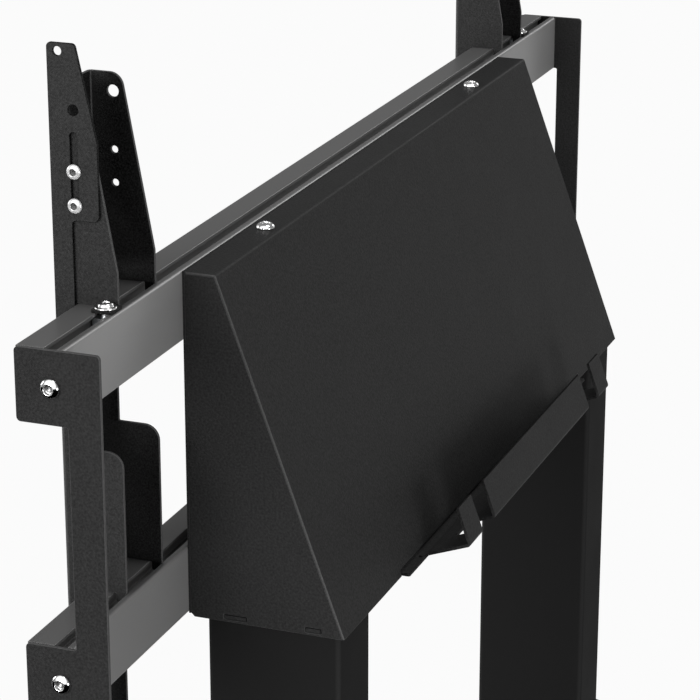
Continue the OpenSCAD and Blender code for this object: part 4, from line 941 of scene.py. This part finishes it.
castorSizes = {"wheelR": 50.0, "wheelW": 32.0, "hubR": 41.0, "bossR": 14.0, "rimT": 6.0, "webHalf": 5.0,
               "groove": 1.2, "grooveAt": (5.5, 7.5), "bore": 5.05, "trail": 36.0, "crownFoot": 106.7,
               "crownTop": 115.7, "crownR": 24.0, "crownFront": -16.0, "cheek": 4.0, "cheekIn": 18.0,
               "cheekNose": 7.0, "axleR": 5.0, "axleOut": 8.5, "nutR": 7.4, "nutBore": 4.9, "nutH": 5.0,
               "swivelR": 6.05, "pinR": 6.0, "pinHeadR": 9.0, "pinHead": 4.0, "pinDrop": 4.3, "raceR": 23.0,
               "raceFoot": 116.0, "plateFoot": 126.0, "plateThick": 4.0, "plateWidth": 94.0,
               "plateDepth": 100.0, "boltX": 28.0, "boltY": 36.0, "boltR": 4.25, "pedalY": 60.0,
               "pedalZ": 104.0, "pedalHole": 3.05}


def tyrePart():
    # tread with round shoulders and two shallow grooves
    c = castorSizes
    r, w, hub, deep = c["wheelR"], c["wheelW"] / 2, c["hubR"], c["wheelR"] - c["groove"]
    near, far = c["grooveAt"]
    side = [(r, -w, 5), (r, -far, 0.4), (deep, 0.4 - far, 0.4), (deep, -near - 0.4, 0.4), (r, -near, 0.4)]
    corners = [(hub, -w, 0.6)] + side + [(p, -z, k) for p, z, k in side[::-1]] + [(hub, w, 0.6)]
    return oriented(ringProfile(corners), "yzx")


def hubPart():
    # rim, dished web and boss in one turned ring
    c = castorSizes
    rim, web, boss = c["wheelW"] / 2 - 3, c["webHalf"], c["cheekIn"] - 0.3
    inner, outer, b = c["hubR"] - c["rimT"], c["hubR"] - 0.05, c["bossR"]
    side = [(c["bore"], -boss, 0.3), (b, -boss, 1), (b, -web, 2.5), (inner, -web, 2.5), (inner, -rim, 0.8),
            (outer, -rim, 0.4)]
    return oriented(ringProfile(side + [(p, -z, k) for p, z, k in side[::-1]]), "yzx")


def axlePart(end):
    # pin from -end to end, chamfered by 0.8
    r = castorSizes["axleR"]
    rows = [(0.01, -end, 0, -1), (r - 0.8, -end, 0, -1), (r, 0.8 - end, 1, 0)]
    return turnedOf(rows + [(p, -z, n, -up) for p, z, n, up in rows[::-1]], 32)


def axleNutPart():
    # a chamfered hexagon with a round bore
    c = castorSizes
    r, h, bore = c["nutR"], c["nutH"], c["nutBore"]
    rows = [(bore, 0, 0, -1), (r - 0.2, 0, 0, -1), (r, 0.4, 1, 0), (r, h - 0.4, 1, 0), (r - 0.4, h, 0, 1),
            (bore, h, 0, 1)]
    return turnedOf(rows, 48, hexRows=(1, 2, 3, 4))


def forkPart(braked):
    # two cheeks hang from a round crown and a bridge, and hold the axle between two nuts
    c = castorSizes
    wheelZ, axle, front, back = c["wheelR"], c["trail"], c["crownFront"], c["pedalY"]
    loops = [outlineOf([
        (front, c["crownTop"], 3), (front, c["crownFoot"] - c["cheekNose"], 8), (axle - 14, wheelZ, 6),
        (axle - 10, wheelZ - 12, 8), (axle + 10, wheelZ - 12, 8), (axle + 16, wheelZ + 2, 10),
        (back + 10, c["pedalZ"] - 8, 6), (back + 10, c["crownTop"] - 5, 5), (back, c["crownTop"], 3),
    ])]
    if braked:
        loops.append(ringOf(back, c["pedalZ"], c["pedalHole"], 24))
    cheek = oriented(sheetOf(loops, c["cheek"], edge=0.8), "yzx")
    out = c["cheekIn"] + c["cheek"]
    height = c["crownTop"] - c["crownFoot"]
    hole = ringOf(0, 0, c["swivelR"])
    disc = sheetOf([ringOf(0, 0, c["crownR"], 72, hole=False), hole], height, edge=0.8)
    w = c["cheekIn"] + 0.5
    bridge = outlineOf(rectangle((-w, front), (w, c["crownR"]), 0.5))
    crown = sheetOf([bridge, hole], height - 0.4)
    pin, nut = oriented(axlePart(out + c["axleOut"]), "yzx"), oriented(axleNutPart(), "yzx")
    return joined([moved(cheek, x=-out), moved(cheek, x=c["cheekIn"]), moved(disc, z=c["crownFoot"]),
                   moved(crown, z=c["crownFoot"] + 0.2), moved(pin, y=axle, z=wheelZ),
                   moved(nut, x=out, y=axle, z=wheelZ), moved(nut, x=-out - c["nutH"], y=axle, z=wheelZ)])


def platePart():
    # a plate with four holes, the ball race under it, and the pin that the fork swivels on
    c = castorSizes
    holes = fourHoles(c["boltX"], c["boltY"], c["boltR"])
    plate = plateOf(c["plateWidth"], c["plateDepth"], 6, c["plateThick"], 0.8, holes)
    r, pin, head = c["raceR"], c["pinR"], c["pinHeadR"]
    race = turnedOf([(0.01, 0, 0, -1), (r - 2.5, 0, 0, -1), (r, 2.5, 1, 0), (r, 5.5, 1, 0),
                     (r - 1.5, 7, 1, 1), (r - 1.5, 10.2, 1, 0)], 72)
    foot = c["crownFoot"] - c["pinDrop"]
    swivel = turnedOf([(0.01, foot, 0, -1), (head - 1, foot, 0, -1), (head, foot + 1, 1, 0),
                       (head, foot + c["pinHead"], 0, 1), (pin, foot + c["pinHead"], 0, 1),
                       (pin, c["raceFoot"] + 1, 1, 0)], 48)
    return joined([moved(plate, z=c["plateFoot"]), moved(race, z=c["raceFoot"]), swivel])


plates = []
for corner in ("front_right", "front_left", "rear_right", "rear_left"):
    low, high = boxOf("castor_wheel_" + corner)
    x, y = (low[0] + high[0]) / 2, (low[1] + high[1]) / 2
    wheelPlace = (x, y, castorSizes["wheelR"])
    forkPlace = (x, y - castorSizes["trail"])
    body = "castor_" + corner
    plates.append(moved(platePart(), *forkPlace))
    fork = forkPart(braked=corner.startswith("rear"))
    makePiece("castor_tyre_" + corner, moved(tyrePart(), *wheelPlace), body + "_wheel", groundPlace)
    makePiece("castor_wheel_" + corner, moved(hubPart(), *wheelPlace), body + "_wheel", groundPlace)
    makePiece("castor_fork_" + corner, moved(fork, *forkPlace), body + "_fork", groundPlace)
makePiece("castor_plates", joined(plates), "base", groundPlace)
print("stage: base made")


# Floor, light and camera

stage = {"floorHalf": 20.0, "floorColour": 0.93, "floorRoughness": 0.9, "floorSpecular": 0.1,
         "shadowNear": 1.0, "shadowFar": 1.55, "white": 0.965, "floorGlow": 0.68, "ambient": 0.45,
         "skyAxis": (0.85, 0.0, 0.53), "skyLow": 0.45, "skyHigh": 0.75, "farGlow": 0.3, "nearGlow": 1.5}


def viewShare(tree):
    # 1 for rays that show the backdrop: from the camera, a reflection or through glass
    rays = addNode(tree, "LightPath").outputs
    seen = addMath(tree, "MAXIMUM", rays["Is Camera Ray"], rays["Is Glossy Ray"])
    return addMath(tree, "MAXIMUM", seen, rays["Is Transmission Ray"])


def glowFor(tree, others):
    # white for the camera's own rays, and the value given for all others
    rays = addNode(tree, "LightPath").outputs
    return addNode(tree, "Mix", {0: rays["Is Camera Ray"], 2: others, 3: stage["white"]}).outputs[0]


def stageSheet(name, low, high, z, paint):
    # a level rectangle that isn't part of the trolley
    mesh = bpy.data.meshes.new(name)
    mesh.from_pydata(rectangle(low, high, z), [], [(0, 1, 2, 3)])
    mesh.materials.append(paint)
    sheet = linked(name, mesh)
    return sheet


def makeFloor():
    # pale floor that keeps the shadow near the trolley and fades to the white of the backdrop
    paint, tree, shader = newPaint("paleFloor")
    shader.inputs["Base Color"].default_value = grey(stage["floorColour"])
    shader.inputs["Roughness"].default_value = stage["floorRoughness"]
    shader.inputs["Specular IOR Level"].default_value = stage["floorSpecular"]
    place = addNode(tree, "TexCoord")
    flat = addNode(tree, "VectorMath", {0: place.outputs["Object"], 1: (1.0, 1.0, 0.0)}, operation="MULTIPLY")
    far = addNode(tree, "VectorMath", {0: flat.outputs[0]}, operation="LENGTH")
    fade = addNode(tree, "MapRange", {"Value": far.outputs["Value"], "From Min": stage["shadowNear"],
                                      "From Max": stage["shadowFar"]}, interpolation_type="SMOOTHSTEP")
    share = addMath(tree, "MULTIPLY", fade.outputs[0], viewShare(tree))
    glow = addNode(tree, "Emission", {"Color": grey(1.0), "Strength": glowFor(tree, stage["floorGlow"])})
    blend = addNode(tree, "MixShader", {0: share, 1: shader.outputs[0], 2: glow.outputs[0]})
    tree.links.new(blend.outputs[0], tree.nodes["Material Output"].inputs[0])
    half = stage["floorHalf"]
    stageSheet("floor", (-half, -half), (half, half), 0, paint)


def makeWorld():
    # white backdrop for the camera; reflections see a sky that is bright overhead and behind the camera
    world = bpy.data.worlds.new("studio")
    bpy.context.scene.world = world
    world.use_nodes = True
    tree = world.node_tree
    tree.nodes.clear()
    place = addNode(tree, "TexCoord")
    along = addNode(tree, "VectorMath", {0: place.outputs["Generated"], 1: stage["skyAxis"]},
                    operation="DOT_PRODUCT")
    sky = addNode(tree, "MapRange", {"Value": along.outputs["Value"], "From Min": stage["skyLow"],
                                     "From Max": stage["skyHigh"], "To Min": stage["farGlow"],
                                     "To Max": stage["nearGlow"]}, interpolation_type="SMOOTHSTEP")
    ambient = addNode(tree, "Background", {"Color": grey(stage["ambient"])})
    white = addNode(tree, "Background", {"Color": grey(1.0), "Strength": glowFor(tree, sky.outputs[0])})
    blend = addNode(tree, "MixShader", {0: viewShare(tree), 1: ambient.outputs[0], 2: white.outputs[0]})
    tree.links.new(blend.outputs[0], addNode(tree, "OutputWorld").inputs[0])


cloth = {"low": (0.45, -12.0), "high": (12.0, 12.0), "z": 0.004}


def makeCloth():
    # only reflections see the black cloth on the floor, so that plated parts show their form
    paint, tree, shader = newPaint("blackCloth")
    tree.nodes.remove(shader)
    black = addNode(tree, "Emission", {"Color": grey(1.0), "Strength": 0.0})
    tree.links.new(black.outputs[0], tree.nodes["Material Output"].inputs[0])
    sheet = stageSheet("blackCloth", cloth["low"], cloth["high"], cloth["z"], paint)
    sheet.visible_camera = False
    sheet.visible_diffuse = False
    sheet.visible_shadow = False


lamps = {
    "farLamp": {"place": (-12.0, 4.4, 6.2), "aim": (0, 0, 1.6), "size": 5.0, "power": 220},
    "nearLamp": {"place": (8.8, -2.0, 4.2), "aim": (0.5, 0, 1.5), "size": 5.0, "power": 680},
    "rearLamp": {"place": (3.0, 6.2, 0.7), "aim": (0, 0, 1.6), "size": 2.5, "power": 150},
    "topLamp": {"place": (0.0, 1.2, 5.5), "aim": (0, 0, 1.6), "size": 1.6, "power": 46},
    "screenLamp": {"place": (0.0, -6.0, 3.0), "aim": (0, 0, 1.6), "size": 3.0, "power": 130},
}


def aimed(name, data, place, aim):
    # a lamp or camera that looks along aim
    holder = linked(name, data)
    holder.location = place
    holder.rotation_euler = aim.to_track_quat("-Z", "Y").to_euler()
    return holder


def makeLamps():
    for name, lamp in lamps.items():
        light = bpy.data.lights.new(name, "AREA")
        light.size = lamp["size"]
        light.energy = lamp["power"]
        aimed(name, light, lamp["place"], Vector(lamp["aim"]) - Vector(lamp["place"]))


view = {"place": (2.5065, 0.8931, 2.3722), "azimuth": 110.83, "elevation": 18.98, "lens": 140.2,
        "sensor": 36.0, "clipEnd": 60.0}


def makeCamera():
    a, e = math.radians(view["azimuth"]), math.radians(view["elevation"])
    back = Vector((math.sin(a) * math.cos(e), -math.cos(a) * math.cos(e), math.sin(e)))
    lens = bpy.data.cameras.new("camera")
    lens.lens = view["lens"]
    lens.sensor_width = view["sensor"]
    lens.clip_end = view["clipEnd"]
    bpy.context.scene.camera = aimed("camera", lens, view["place"], -back)


makeFloor()
makeWorld()
makeCloth()
makeLamps()
makeCamera()
bpy.context.scene.view_settings.view_transform = "Standard"
print("stage: floor, light and camera made")
